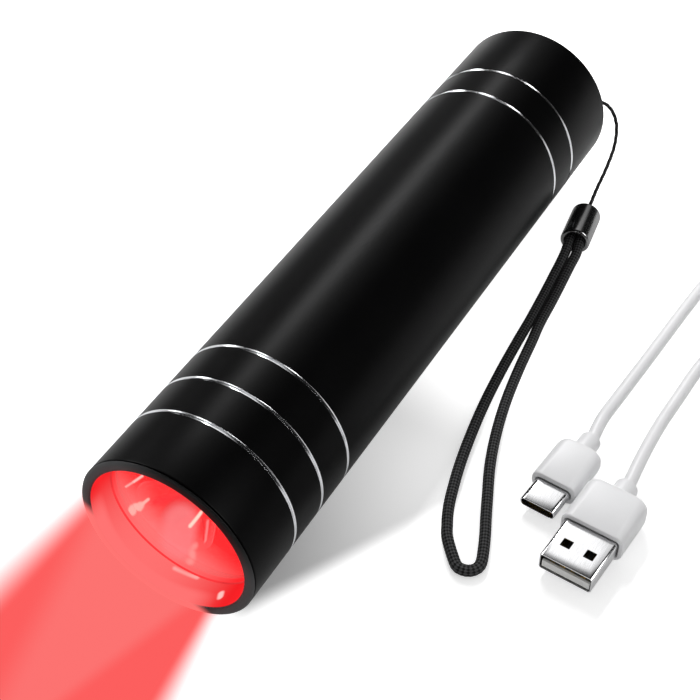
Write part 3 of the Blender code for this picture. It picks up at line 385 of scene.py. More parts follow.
def insulator(name, tone, face, forward):
    """Moulded insulator, pale on its front face and painted dark behind it as shade."""
    made = Finish(name)
    behind = made.vector("DOT_PRODUCT", made.vector("SUBTRACT", face, made.place()), forward,
                         output=1)
    return made.set({
        "Base Color": made.tinted(behind.rise(0.0001, 0.0005), tone, 0.04),
        "Roughness": made.noise(3600, 3.0) * 0.08 + 0.42})


def plated(name, tone, rough=0.16):
    """Nickel-plated sheet with a faint drawn grain."""
    made = Finish(name)
    x, y, _ = made.axes()
    drawn = made.node("ShaderNodeTexNoise", inputs={
        "Vector": made.node("ShaderNodeCombineXYZ", inputs={0: x * 0.08, 1: y}),
        "Scale": 5200.0, "Detail": 3.0})
    return made.set({
        "Base Color": made.tinted(drawn.rise(0.3, 0.75), tone, 0.9),
        "Metallic": 1.0, "Roughness": drawn * 0.1 + (rough - 0.04),
        "Normal": made.bump(drawn, 0.000008, 0.4)})


def head_glow(made):
    """The red light painted into the head as glow: saturated far from the beam, pale behind it,
    with painted glints.
    """
    x, _, _ = made.axes()
    depth = FRONT_X - x
    near = glow_side(made, 0.2, 1.0) * (1.0 - depth.rise(0.0100, 0.0150) * 0.85)
    near = near.top(glow_side(made, 0.3, 0.68) * (1.0 - depth.rise(0.002, 0.0065)))
    tint = made.blend(near, (0.86, 0.0105, 0.0145, 1.0), (0.985, 0.175, 0.172, 1.0))
    for start, end, width, soft, strength, tone in PAINTED_GLINTS:
        share = made.streak(start, end, width, soft) * strength
        tint = made.blend(share, tint, (*tone, 1.0))
    return tint


def lit_wall(name):
    """The head's inner wall, with the head's red light painted on it as glow."""
    made = Finish(name)
    return made.set({
        "Base Color": (0.02, 0.0, 0.0, 1.0), "Roughness": made.noise(400) * 0.1 + 0.3, "IOR": 1.1,
        "Emission Color": head_glow(made), "Emission Strength": 1.0})


def mirror(name):
    """The reflector's bright skin, tinted red for the light in it, with the head's red glow and
    glints painted on it as emission.
    """
    made = Finish(name)
    return made.set({
        "Base Color": (0.3, 0.01, 0.012, 1.0), "Metallic": 1.0,
        "Roughness": made.noise(900) * 0.05 + 0.1,
        "Emission Color": head_glow(made), "Emission Strength": 1.0})


def emitter(name, glow):
    made = Finish(name)
    spots = made.noise(1500)
    return made.set({
        "Base Color": color(glow), "Roughness": spots * 0.1 + 0.2,
        "Emission Color": made.blend(spots, color(glow), (1.0, 0.35, 0.33, 1.0)),
        "Emission Strength": 5.0})


def clear_glass(name):
    made = Finish(name)
    smear = made.noise(260)
    return made.set({
        "Base Color": WHITE, "Roughness": smear * 0.03 + 0.02,
        "Alpha": smear * 0.02 + 0.02, "IOR": 1.5})


def silicone(name, tone):
    """The gasket, with painted glow: its front face is painted as a darker red line, and its bore
    with the head's painted glow.
    """
    made = Finish(name)
    grain = made.noise(2400)
    bore, face_start = 17.3, 17.5  # radii in mm
    _, y, z = made.axes()
    z = z - AXIS_HEIGHT
    face = ((y * y + z * z) * 1e6).rise(bore ** 2, face_start ** 2)
    return made.set({
        "Base Color": made.tinted(grain, tone, 1.4), "Roughness": grain * 0.1 + 0.42,
        "Emission Color": made.blend(face, head_glow(made), (0.66, 0.028, 0.032, 1.0)),
        "Emission Strength": 1.0, "Normal": made.bump(grain, 0.00001, 0.4)})


def solder_mask(name, tone):
    """Circuit board with faint copper tracks under the mask."""
    made = Finish(name)
    _, y, z = made.axes()
    track = ((y * 2600).sine() * (z * 1700).sine()).rise(0.55, 0.6)
    return made.set({
        "Base Color": made.tinted(track, tone, 1.8),
        "Roughness": made.noise(900) * 0.08 + 0.34, "Normal": made.bump(track, 0.00002, 0.5)})


def sleeve(name, tone):
    """Plain shrink film over the cell."""
    made = Finish(name)
    fold = made.noise(700, 3.0, 0.7)
    return made.set({
        "Base Color": made.tinted(fold.rise(0.4, 0.7), tone, 1.3),
        "Roughness": fold * 0.15 + 0.22, "Coat Weight": 0.4,
        "Normal": made.bump(fold, 0.00003, 0.4)})


def woven(name, dark, light):
    """Braided or twisted nylon, which reads the relief stored on the cord."""
    made = Finish(name)
    weave = made.node("ShaderNodeAttribute", {"attribute_name": "weave"}, output=2)
    fibre = made.noise(9000, 3.0, 0.7)
    share = weave.rise(0.3, 0.75) * (fibre.rise(0.3, 0.7) * 0.5 + 0.5)
    return made.set({
        "Base Color": made.blend(share, color(dark), color(light)),
        "Roughness": fibre * 0.2 + 0.55, "IOR": 1.25,
        "Normal": made.bump(fibre, 0.00003, 0.6)})


def add_piece(name, mesh, finishes=()):
    made = bpy.data.objects.new(name, mesh)
    bpy.context.scene.collection.objects.link(made)
    for finish in finishes:
        made.data.materials.append(finish)
    return made


def settle(piece, sharp=False):
    """Turns the piece and its modifiers into one plain mesh, with sharp edges where it creases."""
    bpy.context.view_layer.update()
    graph = bpy.context.evaluated_depsgraph_get()
    mesh = bpy.data.meshes.new_from_object(piece.evaluated_get(graph),
                                           preserve_all_data_layers=True, depsgraph=graph)
    piece.modifiers.clear()
    piece.data = mesh
    mesh.name = piece.name
    if sharp:
        mesh.shade_smooth()
        mesh.set_sharp_from_angle(angle=CREASE)
    return piece


def along_wand(depth, radius, angle, y=0.0, z=AXIS_HEIGHT):
    """A place round the wand's axis, or round a line beside it through y and z."""
    return (FRONT_X - depth, y + radius * cos(angle), z + radius * sin(angle))


def skin_mesh(name, rows, closed=False, strips=None):
    """A mesh over rows of points, each row a ring or one pole. strips are the finish numbers."""
    mesh = bpy.data.meshes.new(name)
    strips = strips or [0] * len(rows)
    points, starts, faces, marks = [], [], [], []
    for row in rows:
        starts.append(len(points))
        points.extend(row)
    count = len(rows) if closed else len(rows) - 1
    for i in range(count):
        j = (i + 1) % len(rows)
        sides = max(len(rows[i]), len(rows[j]))
        for k in range(sides):
            corners = []
            for row, step in ((i, k), (i, k + 1), (j, k + 1), (j, k)):
                corner = starts[row] + step % len(rows[row])
                if corner not in corners:
                    corners.append(corner)
            if len(corners) > 2:
                faces.append(corners)
                marks.append(strips[i])
    if not closed:
        for row in (0, len(rows) - 1):
            if len(rows[row]) > 2:
                faces.append([starts[row] + k for k in range(len(rows[row]))])
                marks.append(strips[min(row, count - 1)])
    mesh.from_pydata(points, [], faces)
    mesh.polygons.foreach_set("material_index", marks)
    work = bmesh.new()
    work.from_mesh(mesh)
    bmesh.ops.recalc_face_normals(work, faces=work.faces)
    work.to_mesh(mesh)
    work.free()
    mesh.shade_smooth()
    mesh.set_sharp_from_angle(angle=CREASE)
    return mesh


def lofted(name, rows, finishes=()):
    return add_piece(name, skin_mesh(name, rows), finishes)


def ease(profile):
    """Rounds each corner of a closed profile of (along, across, finish, rounding) points."""
    made, steps = [], 4
    count = len(profile)
    for i, (along, across, finish, rounding) in enumerate(profile):
        if not rounding:
            made.append((along, across, finish))
            continue
        corner = Vector((along, across))
        back = Vector(profile[i - 1][:2]) - corner
        ahead = Vector(profile[(i + 1) % count][:2]) - corner
        start = corner + back.normalized() * min(rounding, back.length * 0.49)
        end = corner + ahead.normalized() * min(rounding, ahead.length * 0.49)
        for k in range(steps + 1):
            t = k / steps
            spot = start * (1 - t) ** 2 + corner * 2 * t * (1 - t) + end * t ** 2
            made.append((spot.x, spot.y, finish if k == steps else profile[i - 1][2]))
    return made


def turned(name, profile, finishes=(), sides=160, closed=True, place=along_wand):
    """A turned piece from a profile of (depth, radius, finish, rounding) points, in which the
    last two are 0 where they are left out."""
    profile = [(*point, 0, 0)[:4] for point in profile]
    if closed:
        profile = ease(profile)
    rows = []
    for depth, radius, *_ in profile:
        if radius == 0.0:
            rows.append([place(depth, 0.0, 0.0)])
        else:
            rows.append([place(depth, radius, tau * k / sides) for k in range(sides)])
    return add_piece(name, skin_mesh(name, rows, closed, [point[2] for point in profile]),
                     finishes)


def cut(piece, tools, operation="DIFFERENCE"):
    """Changes a piece by other shapes, which are then removed."""
    for tool in tools:
        change = piece.modifiers.new("cut", "BOOLEAN")
        change.operation, change.solver, change.object = operation, "EXACT", tool
    settle(piece, sharp=True)
    for tool in tools:
        bpy.data.objects.remove(tool, do_unlink=True)
    return piece


def outline(half_width, half_height, corner):
    """Points round a rectangle with rounded corners."""
    corner = min(corner, half_width, half_height)
    points, steps = [], 5
    for quarter in range(4):
        side_x = half_width - corner
        side_y = half_height - corner
        sign_x = 1 if quarter in (0, 3) else -1
        sign_y = 1 if quarter in (0, 1) else -1
        for k in range(steps + 1):
            angle = (quarter + k / steps) * pi / 2
            points.append((sign_x * side_x + corner * cos(angle),
                           sign_y * side_y + corner * sin(angle)))
    return points


def inset(size, by, corner_by=None):
    """A rectangle's half width, half height and corner, drawn in on every side."""
    half_width, half_height, corner = size
    return half_width - by, half_height - by, corner - (by if corner_by is None else corner_by)


def smooth_route(points, spacing):
    """Points at even steps along a smooth curve through the given points."""
    knots = [Vector(point) for point in points]
    knots = [knots[0] * 2 - knots[1]] + knots + [knots[-1] * 2 - knots[-2]]
    fine, steps = [], 24
    for i in range(1, len(knots) - 2):
        before, start, end, after = knots[i - 1:i + 3]
        for k in range(steps):
            t = k / steps
            fine.append(0.5 * (2 * start + (end - before) * t
                               + (2 * before - 5 * start + 4 * end - after) * t ** 2
                               + (3 * start - before - 3 * end + after) * t ** 3))
    fine.append(knots[-2])
    lengths = [0.0]
    for first, second in zip(fine, fine[1:]):
        lengths.append(lengths[-1] + (second - first).length)
    count = max(2, round(lengths[-1] / spacing))
    route, k = [], 0
    for i in range(count + 1):
        goal = lengths[-1] * i / count
        while k < len(fine) - 2 and lengths[k + 1] < goal:
            k += 1
        span = lengths[k + 1] - lengths[k]
        route.append(fine[k].lerp(fine[k + 1], (goal - lengths[k]) / span))
    return route


def route_length(route):
    return sum((second - first).length for first, second in zip(route, route[1:]))


class GeometryTree(Tree):
    """A Geometry Nodes tree with named inputs."""

    def __init__(self, name, sizes, finish):
        super().__init__(bpy.data.node_groups.new(name, "GeometryNodeTree"))
        face = self.nodes.interface
        face.new_socket("Geometry", in_out="INPUT", socket_type="NodeSocketGeometry")
        self.keys = {}
        for label, value in sizes.items():
            kind = {float: "Float", int: "Int", Vector: "Vector"}[type(value)]
            made = face.new_socket(label, in_out="INPUT", socket_type="NodeSocket" + kind)
            self.keys[label] = (made.identifier, value)
        face.new_socket("Geometry", in_out="OUTPUT", socket_type="NodeSocketGeometry")
        self.entry = self.nodes.nodes.new("NodeGroupInput")
        self.finish = finish

    def value(self, label):
        return Socket(self, self.entry.outputs[label])

    def store(self, geometry, name, value):
        """Keeps a value for each point of a geometry under a name."""
        return self.node("GeometryNodeStoreNamedAttribute",
                         {"data_type": "FLOAT", "domain": "POINT"},
                         {"Geometry": geometry, "Name": name, "Value": value})

    def stored(self, name):
        return self.node("GeometryNodeInputNamedAttribute", {"data_type": "FLOAT"},
                         {"Name": name})

    def end(self, geometry):
        whole = self.node("GeometryNodeRealizeInstances", inputs={0: geometry})
        painted = self.node("GeometryNodeSetMaterial",
                            inputs={"Geometry": whole, "Material": self.finish})
        last = self.nodes.nodes.new("NodeGroupOutput")
        self.nodes.links.new(painted.output, last.inputs[0])

    def use(self, piece):
        change = piece.modifiers.new("nodes", "NODES")
        change.node_group = self.nodes
        for identifier, value in self.keys.values():
            change[identifier] = list(value) if isinstance(value, Vector) else value
        return settle(piece)


def corded(name, route, sizes, finish, both_ways):
    """A braided or twisted cord along a route, with its relief in the mesh."""
    mesh = bpy.data.meshes.new(name)
    mesh.from_pydata(route, [(i, i + 1) for i in range(len(route) - 1)], [])
    piece = add_piece(name, mesh)
    tree = GeometryTree(name + "_nodes", sizes, finish)
    path = tree.node("GeometryNodeMeshToCurve", inputs={0: tree.value("Geometry")})
    path = tree.node("GeometryNodeResampleCurve", {"mode": "LENGTH"},
                     {"Curve": path, "Length": tree.value("Step")})
    path = tree.store(path, "along", tree.node("GeometryNodeSplineParameter", output=1))
    ring = tree.node("GeometryNodeCurvePrimitiveCircle", {"mode": "RADIUS"},
                     {"Resolution": tree.value("Sides"), "Radius": tree.value("Radius")})
    ring = tree.store(ring, "around", tree.node("GeometryNodeSplineParameter", output=0))
    skin = tree.node("GeometryNodeCurveToMesh",
                     inputs={"Curve": path, "Profile Curve": ring, "Fill Caps": True})
    turn = tree.stored("around") * tree.value("Strands") * tau
    shift = tree.stored("along") * (tau / 2) / tree.value("Pitch")
    if both_ways:
        relief = ((turn * 0.5 + shift).sine() * (turn * 0.5 - shift).sine()) * 0.5 + 0.5
    else:
        relief = (turn * 0.5 + shift * 0.5).sine().size()
    skin = tree.store(skin, "weave", relief)
    push = tree.scaled(tree.node("GeometryNodeInputNormal"),
                       (relief - 1.0) * tree.value("Relief"))
    skin = tree.node("GeometryNodeSetPosition", inputs={"Geometry": skin, "Offset": push})
    tree.end(tree.node("GeometryNodeSetShadeSmooth", inputs={"Geometry": skin}))
    return tree.use(piece)


def pads(name, place, finish, count, step, size):
    """A row of small contacts across a plug, on its own axes."""
    piece = add_piece(name, bpy.data.meshes.new(name))
    tree = GeometryTree(name + "_nodes", {"Count": count, "Step": Vector((0.0, step, 0.0)),
                                          "Size": Vector(size)}, finish)
    start = tree.scaled(tree.value("Step"), (tree.value("Count") - 1.0) * -0.5)
    row = tree.node("GeometryNodeMeshLine", {"mode": "OFFSET"},
                    {"Count": tree.value("Count"), "Start Location": start,
                     "Offset": tree.value("Step")})
    pad = tree.node("GeometryNodeMeshCube", inputs={"Size": tree.value("Size")})
    tree.end(tree.node("GeometryNodeInstanceOnPoints", inputs={"Points": row, "Instance": pad}))
    tree.use(piece)
    piece.data.transform(place)
    return piece


def dress(finish, *nodes):
    """Gives CAD nodes that stay in view or inside a finish of their own."""
    for name in nodes:
        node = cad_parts[name]
        for place in node.material_slots:
            place.material = finish


def put(piece, body, slot, *nodes):
    """Ties a finished piece to its body and hides the CAD nodes it stands for. slot is not used.
    """
    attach(piece, body)
    if nodes:
        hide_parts(*nodes)


def strip_light(name, place, size, glow, tilt=0.0):
    """A flat light that lies along the wand and faces down, or is tilted about X. glow is what
    a mirror shows of it, where 1 is white."""
    lamp = bpy.data.lights.new(name, "AREA")
    lamp.shape = "RECTANGLE"
    lamp.size, lamp.size_y = size
    lamp.energy = glow * pi * size[0] * size[1]
    made = bpy.data.objects.new(name, lamp)
    made.location = place
    made.rotation_euler = (tilt, 0.0, 0.0)
    bpy.context.scene.collection.objects.link(made)


class WAND_OT_stage(bpy.types.Operator):
    """Make the camera, the lights and the floor"""

    bl_idname = "wand.make_stage"
    bl_label = "Studio"

    def execute(self, context):
        settings = context.scene.wand_stage
        self.camera(context)
        self.lights(context, settings)
        self.floor()
        return {"FINISHED"}

    def camera(self, context):
        """The photograph's viewing angle, from the fit to the wand's edges and grooves."""
        data = bpy.data.cameras.new("camera")
        data.lens, data.sensor_width = 77.97, 36.0
        data.clip_start, data.clip_end = 0.01, 20.0
        made = bpy.data.objects.new("camera", data)
        right, up = Vector((-0.49743, 0.86750, 0.0)), Vector((-0.61223, -0.35106, 0.70848))
        back = right.cross(up)
        turn = Matrix((right, up, back)).transposed().to_4x4()
        made.matrix_world = Matrix.Translation((0.22151, 0.12025, 0.25111)) @ turn
        context.scene.collection.objects.link(made)
        context.scene.camera = made
        context.scene.view_settings.view_transform = "Standard"

    def lights(self, context, settings):
        strip_light("key_strip", (-0.31, -0.155, 0.35), (0.32, 0.05), settings.key_glow)
        strip_light("soft_card", (-0.236, -0.03, 0.352), (0.30, 0.12), settings.card_glow)
        strip_light("left_strip", (-0.31, -0.34, 0.20), (0.45, 0.03), 3.0, 1.04)
        world = bpy.data.worlds.new("studio")
        context.scene.world = world
        world.use_nodes = True
        tree = Tree(world.node_tree)
        back = world.node_tree.nodes["Background"]
        back.inputs["Color"].default_value = WHITE
        camera, glossy, glass, bounces = self.rays(tree)
        mirrored = glossy.top(glass)
        along, _, high = tree.axes("Generated")
        card = self.window(tree, (-0.62, -0.2, 0.76), 0.885, 0.96)
        # Soft light from both sides, which shows only where a piece mirrors it at first hand
        beside = (1.0 - along.size().rise(0.2, 0.36)) * high.rise(0.3, 0.45)
        beside = beside * (1.0 - high.rise(0.7, 0.85)) * (1.0 - bounces.rise(2.0, 3.0))
        dome = 0.06 - high.rise(0.0, 0.35) * 0.055 + card * 0.8 + beside * 10.0
        light = mirrored * (dome + self.sparkle(tree)) + (1.0 - mirrored) * settings.ambient
        strength = camera + (1.0 - camera) * light
        world.node_tree.links.new(strength.output, back.inputs["Strength"])

    def sparkle(self, tree):
        """Small bright windows in front of the wand, which glint in its turned grooves: three
        for those at the head, and three higher ones for those at the tail."""
        places = ((0.988, -0.054, 0.14), (0.898, -0.41, 0.155), (0.703, -0.711, 0.03),
                  (0.928, 0.056, 0.37), (0.858, -0.325, 0.398), (0.704, -0.669, 0.24))
        return sum(self.window(tree, place, 0.9950, 0.9975) * 6.0 for place in places)

    def window(self, tree, place, low, high):
        """A round bright place on the studio's walls; low and high are cosines off its middle."""
        near = tree.vector("DOT_PRODUCT", tree.place("Generated"), Vector(place).normalized(),
                           output=1)
        return near.rise(low, high)

    def rays(self, tree):
        """Each 1 on one kind of ray: from the camera, from a glossy surface, and through glass.
        The last is how often the ray has bounced."""
        path = tree.node("ShaderNodeLightPath")
        return [Socket(tree, path.output.node.outputs[name])
                for name in ("Is Camera Ray", "Is Glossy Ray", "Is Transmission Ray",
                             "Ray Depth")]

    def beam(self, x, y):
        """Where the red beam's light is painted on the floor, and where its brighter core is."""
        across = y + (x - 0.080) * 0.283  # off the beam's middle line, which slants to -Y
        left = ((across + 0.0465 - x * 0.084) / (x * 0.19 - 0.003)).rise(0.0, 1.0)
        inner = x * 0.41 - 0.02723
        right = 1.0 - ((across - inner) / (x * 0.15 - 0.00745)).rise(0.0, 1.0)
        ends = x.rise(0.064, 0.070) * (1.0 - x.rise(0.13, 0.25))
        core = ((across - x * 0.54 + 0.07352) / 0.0084).rise(0.0, 1.0)
        core = core * (1.0 - across.rise(0.001, 0.0055))
        return left * right * ends, core

    def floor(self):
        made = Finish("studio_floor")
        x, y, _ = made.axes()
        # The beam's red pool of light is painted on the floor as glow, and the floor's matte
        # colour is black under it
        beam, core = self.beam(x, y)
        red = made.blend(core, (0.98, 0.114, 0.112, 1.0), BEAM_CORE)
        reach = made.vector("LENGTH", made.place(), output=1)
        # The floor's glow paints it brighter beside the tail, far off, and on the head's -Y side.
        # A painted shadow of the wand darkens the wedge between, more strongly up to a line
        # that slants across it than beyond it.
        lit = (0.018 - x).rise(0.0, 0.025).top(reach.rise(0.09, 0.16))
        lit = lit.top((x * 0.5 - y).rise(0.024, 0.030))
        beyond = (y + x * 0.523).rise(0.0505, 0.0575)
        painted_shade = (1.0 - beyond) * (x.rise(0.020, 0.072) * 0.36 + 0.48)
        painted_shade = (1.0 - lit) * (painted_shade + beyond * y.rise(0.034, 0.044) * 0.46)
        camera, glossy, glass, _ = self.rays(made)
        plain = reach.rise(0.15, 0.7) * 0.3 + 0.97 - painted_shade
        plain = plain * camera.top(glossy * 0.3).top(glass)
        glow = plain * (1.0 - beam) + camera.top(glossy).top(glass) * beam
        shine = made.node("ShaderNodeEmission", inputs={
            "Color": made.blend(beam, WHITE, red), "Strength": glow})
        matte = made.node("ShaderNodeBsdfDiffuse", inputs={
            "Color": made.blend(beam, (0.8, 0.8, 0.8, 1.0), BLACK)})
        both = made.node("ShaderNodeAddShader", inputs={0: shine, 1: matte})
        end = made.nodes.nodes["Material Output"]
        made.nodes.nodes.remove(made.surface)
        made.nodes.links.new(both.output, end.inputs["Surface"])
        half = 3.0
        corners = [(-half, -half, 0.0), (half, -half, 0.0), (half, half, 0.0), (-half, half, 0.0)]
        mesh = bpy.data.meshes.new("studio_floor")
        mesh.from_pydata(corners, [], [(0, 1, 2, 3)])
        add_piece("studio_floor", mesh, [made.material])


class WAND_OT_cords(bpy.types.Operator):
    """Make the string, the braided loop and the charging cable"""

    bl_idname = "wand.make_cords"
    bl_label = "Cords"

    def execute(self, context):
        strap, lead = context.scene.wand_strap, context.scene.wand_lead
        nylon = woven("twisted_nylon", (0.004, 0.004, 0.004), (0.03, 0.03, 0.03))
        braid = woven("braided_nylon", (0.0, 0.0, 0.0), (0.075, 0.075, 0.077))
        route = smooth_route(STRING_ROUTE, strap.string_diameter / 2)
        string = corded("string_cord", route, {
            "Radius": strap.string_diameter / 2, "Step": 0.0001, "Sides": 16, "Strands": 3.0,
            "Pitch": 0.0011, "Relief": 0.00008}, nylon, False)
        put(string, "strap", "strap_string", "strap_string")
        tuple(STRING_ROUTE[1])
        route_length(route)
        dress(nylon, "string_knot")
        route = smooth_route(STRAP_ROUTE, strap.cord_diameter / 3)
        loop = corded("braided_loop", route, {
            "Radius": strap.cord_diameter / 2, "Step": 0.00013, "Sides": 48, "Strands": 12.0,
            "Pitch": strap.braid_pitch, "Relief": 0.00007}, braid, True)
        put(loop, "strap", "strap_braid", "strap_loop")
        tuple(STRAP_ROUTE[0])
        route_length(route)
        self.cable(lead)
        return {"FINISHED"}

    def cable(self, lead):
        route = smooth_route(CABLE_ROUTE, lead.cable_diameter * 0.6)
        curve = bpy.data.curves.new("white_cable", "CURVE")
        curve.dimensions = "3D"
        curve.bevel_depth = lead.cable_diameter / 2
        curve.bevel_resolution = 6
        curve.use_fill_caps = True
        line = curve.splines.new("POLY")
        line.points.add(len(route) - 1)
        for spot, point in zip(line.points, route):
            spot.co = (*point, 1.0)
        finish = moulded("cable_plastic", lead.plastic_color, rough=0.36, sink=0.03)
        cable = add_piece("white_cable", curve, [finish])
        put(cable, "charging_lead", "white_plastic", "lead_cable")
        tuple(CABLE_ROUTE[0])
        route_length(route)


def side_block(name, size):
    """A rounded block through the wall on the flap's side; size as outline takes it."""
    rows = [[(FLAP_X + x, y, AXIS_HEIGHT + z) for x, z in outline(*size)]
            for y in (-BODY_RADIUS * 0.75, -BODY_RADIUS * 1.2)]
    return lofted(name, rows)


def flap_patch(name, inner, outer, size, finishes=()):
    """A rounded patch of the body's curved wall, on the flap's side."""
    middle = FRONT_X - FLAP_X
    start, end = middle - size[0] - PAST, middle + size[0] + PAST
    made = turned(name, [(start, inner), (start, outer), (end, outer), (end, inner)], finishes)
    return cut(made, [side_block("patch_tool", size)], "INTERSECT")


class WAND_OT_body(bpy.types.Operator):
    """Make the barrel with its bright grooves"""

    bl_idname = "wand.make_body"
    bl_label = "Barrel"

    def execute(self, context):
        sizes = context.scene.wand_sizes
        black = anodised("black_anodised_body", sizes.body_color)
        bright = turned_metal("bright_groove", BRIGHT_METAL)
        radius, low = BODY_RADIUS, BODY_RADIUS - sizes.groove_depth
        start, end, step, cell_bore, pocket = 0.0008, 0.1459, 0.0257, 0.0166, 0.0009
        half = sizes.groove_width / 2
        profile = [(start, HEAD_BORE), (start, radius, 0, sizes.edge_round)]
        for middle in GROOVE_DEPTHS:
            profile += [(middle - half, radius, 1), (middle - half * 0.4, low, 1),
                        (middle + half * 0.4, low, 1), (middle + half, radius)]
        profile += [(end - 0.0003, radius, 1), (end, low), (end, cell_bore), (step, cell_bore),
                    (step, HEAD_BORE), (CUPS_FRONT, HEAD_BORE, 2), (RING_BACK, HEAD_BORE)]
        # The bore in front of the reflector is painted with the head's red glow
        barrel = turned("barrel_shell", profile, [black, bright, lit_wall("lit_bore")])
        cut(barrel, [flap_patch("pocket_tool", radius - pocket, radius + PAST,
                                (0.0049, 0.0074, 0.0010)),
                     side_block("window_tool", (0.0021, 0.0050, 0.0004))])
        put(barrel, "body", "black_anodised", "barrel")
        return {"FINISHED"}


class WAND_OT_head(bpy.types.Operator):
    """Make the front ring, the lens, the reflector and the emitters"""

    bl_idname = "wand.make_head"
    bl_label = "Light head"

    def execute(self, context):
        sizes = context.scene.wand_sizes
        rim = lit_rim("black_anodised_rim", (0.07, 0.07, 0.072))
        wall = lit_wall("lit_inner_wall")
        radius, outer, inner, lip, face = BODY_RADIUS, 0.0186, 0.0177, 0.0003, 0.0005
        ring = [(lip, inner, 0, 0.0001), (0.0, inner + lip, 0, 0.0001), (0.0, radius - 0.0007),
                (0.00012, radius - 0.00035), (0.0003, radius - 0.0001), (face, radius),
                (face, outer), (RING_BACK, outer), (RING_BACK, inner, 1)]
        put(turned("front_ring", ring, [rim, wall]), "bezel", "black_anodised", "bezel_ring")
        dress(silicone("red_silicone", (0.3, 0.01, 0.015)), "lens_gasket")
        dress(clear_glass("lens_glass"), "front_lens")
        dress(emitter("red_light", sizes.glow_color), "led_1", "led_2", "led_3")
        self.reflector()
        return {"FINISHED"}

    def reflector(self):
        front, back, outer = CUPS_FRONT, 0.0202, 0.01887
        disc = turned("mirror_cups", [(front, 0.0), (front, outer), (back, outer), (back, 0.0)],
                      [mirror("mirror_red")], sides=128, closed=False)
        mouth, throat, offset, steps = 0.0094, 0.0028, 0.0087, 14
        steep = (back - front) / (mouth ** 2 - throat ** 2)
        profile = [(front - PAST, 0.0), (front - PAST, mouth)]
        for i in range(steps + 1):
            radius = mouth + (throat - mouth) * i / steps
            profile.append((back - steep * (radius ** 2 - throat ** 2), radius))
        profile += [(back + PAST, throat), (back + PAST, 0.0)]
        tools = []
        for number in range(3):
            turn = CUP_TURN + tau * number / 3
            place = partial(along_wand, y=offset * cos(turn), z=AXIS_HEIGHT + offset * sin(turn))
            tools.append(turned("cup_tool", profile, sides=72, closed=False, place=place))
        cut(disc, tools)
        put(disc, "body", "reflector_chrome", "reflector")


class WAND_OT_tail(bpy.types.Operator):
    """Make the tail cap and its push button"""

    bl_idname = "wand.make_tail"
    bl_label = "Tail"

    def execute(self, context):
        sizes = context.scene.wand_sizes
        black = anodised("black_anodised_tail", sizes.body_color)
        bright = turned_metal("bright_tail_groove", BRIGHT_METAL)
        radius, low = BODY_RADIUS, BODY_RADIUS - sizes.groove_depth
        start, wall, end = 0.1462, 0.1627, 0.1659
        front, spigot, bore = 0.13305, 0.0163, 0.0140
        seal_start, seal_end, seal = 0.13715, 0.13895, 0.0148
        room_start, room, button_hole, string_hole = wall - 0.008, 0.0162, 0.0075, 0.001
        profile = [(front, bore), (front, spigot, 0, 0.0004), (seal_start, spigot),
                   (seal_start, seal), (seal_end, seal), (seal_end, spigot), (start, spigot),
                   (start, low, 1), (start + 0.00024, radius), (end, radius, 0, 0.00025),
                   (end, button_hole, 0, 0.0004), (wall, button_hole), (wall, room),
                   (room_start, room), (room_start, bore)]
        cap = turned("tail_shell", profile, [black, bright])
        _, y, z = STRING_ROUTE[0]
        hole = [(wall - PAST, 0.0), (wall - PAST, string_hole), (end + PAST, string_hole),
                (end + PAST, 0.0)]
        cut(cap, [turned("hole_tool", hole, sides=24, closed=False,
                         place=partial(along_wand, y=y, z=z))])
        put(cap, "tail", "black_anodised", "tail_cap")
        self.button()
        return {"FINISHED"}

    def button(self):
        stem, flange, skirt = 0.002, 0.0092, 0.0072
        stem_start, flange_start, flange_end, top = 0.15365, 0.1612, 0.1624, 0.1655
        dish = top - 0.0003
        profile = [(stem_start, 0.0), (stem_start, stem), (flange_start, stem),
                   (flange_start, flange, 0, 0.0003), (flange_end, flange, 0, 0.0003),
                   (flange_end, skirt), (top, skirt, 0, 0.0006), (top, 0.0058, 0, 0.0002),
                   (dish, 0.0055, 0, 0.0002), (dish, 0.0030, 0, 0.0002),
                   (top, 0.0027, 0, 0.0002), (top, 0.0)]
        cap = turned("button_cap", profile, [rubber("button_rubber", (0.012, 0.012, 0.012))],
                     sides=96)
        put(cap, "button", "black_rubber", "power_button")


class WAND_OT_bead(bpy.types.Operator):
    """Make the bead that gathers the strap"""

    bl_idname = "wand.make_bead"
    bl_label = "Strap bead"

    def execute(self, context):
        axis = BEAD_MOUTH - BEAD_HEAD
        length = axis.length
        lean = axis.to_track_quat("Z", "Y").to_matrix()
        wide, mouth, mouth_depth, hole = 0.0037, 0.00275, 0.003, 0.0008
        profile = [(0.0, wide - 0.0006, 0, 0.0002), (0.0006, wide, 0, 0.0003),
                   (length - 0.0004, wide, 0, 0.0002), (length, wide - 0.0004, 0, 0.0001),
                   (length, mouth, 0, 0.0001), (length - mouth_depth, mouth),
                   (length - mouth_depth, hole), (0.0, hole, 0, 0.0001)]

        def on_bead(depth, radius, angle):
            spot = Vector((radius * cos(angle), radius * sin(angle), depth))
            return tuple(BEAD_HEAD + lean @ spot)
        glossy = moulded("glossy_bead", (0.006, 0.006, 0.006), rough=0.22, ior=2.5, grain=0.06)
        bead = turned("bead_shell", profile, [glossy], sides=64, place=on_bead)
        put(bead, "strap", "bead_plastic", "strap_bead")
        return {"FINISHED"}


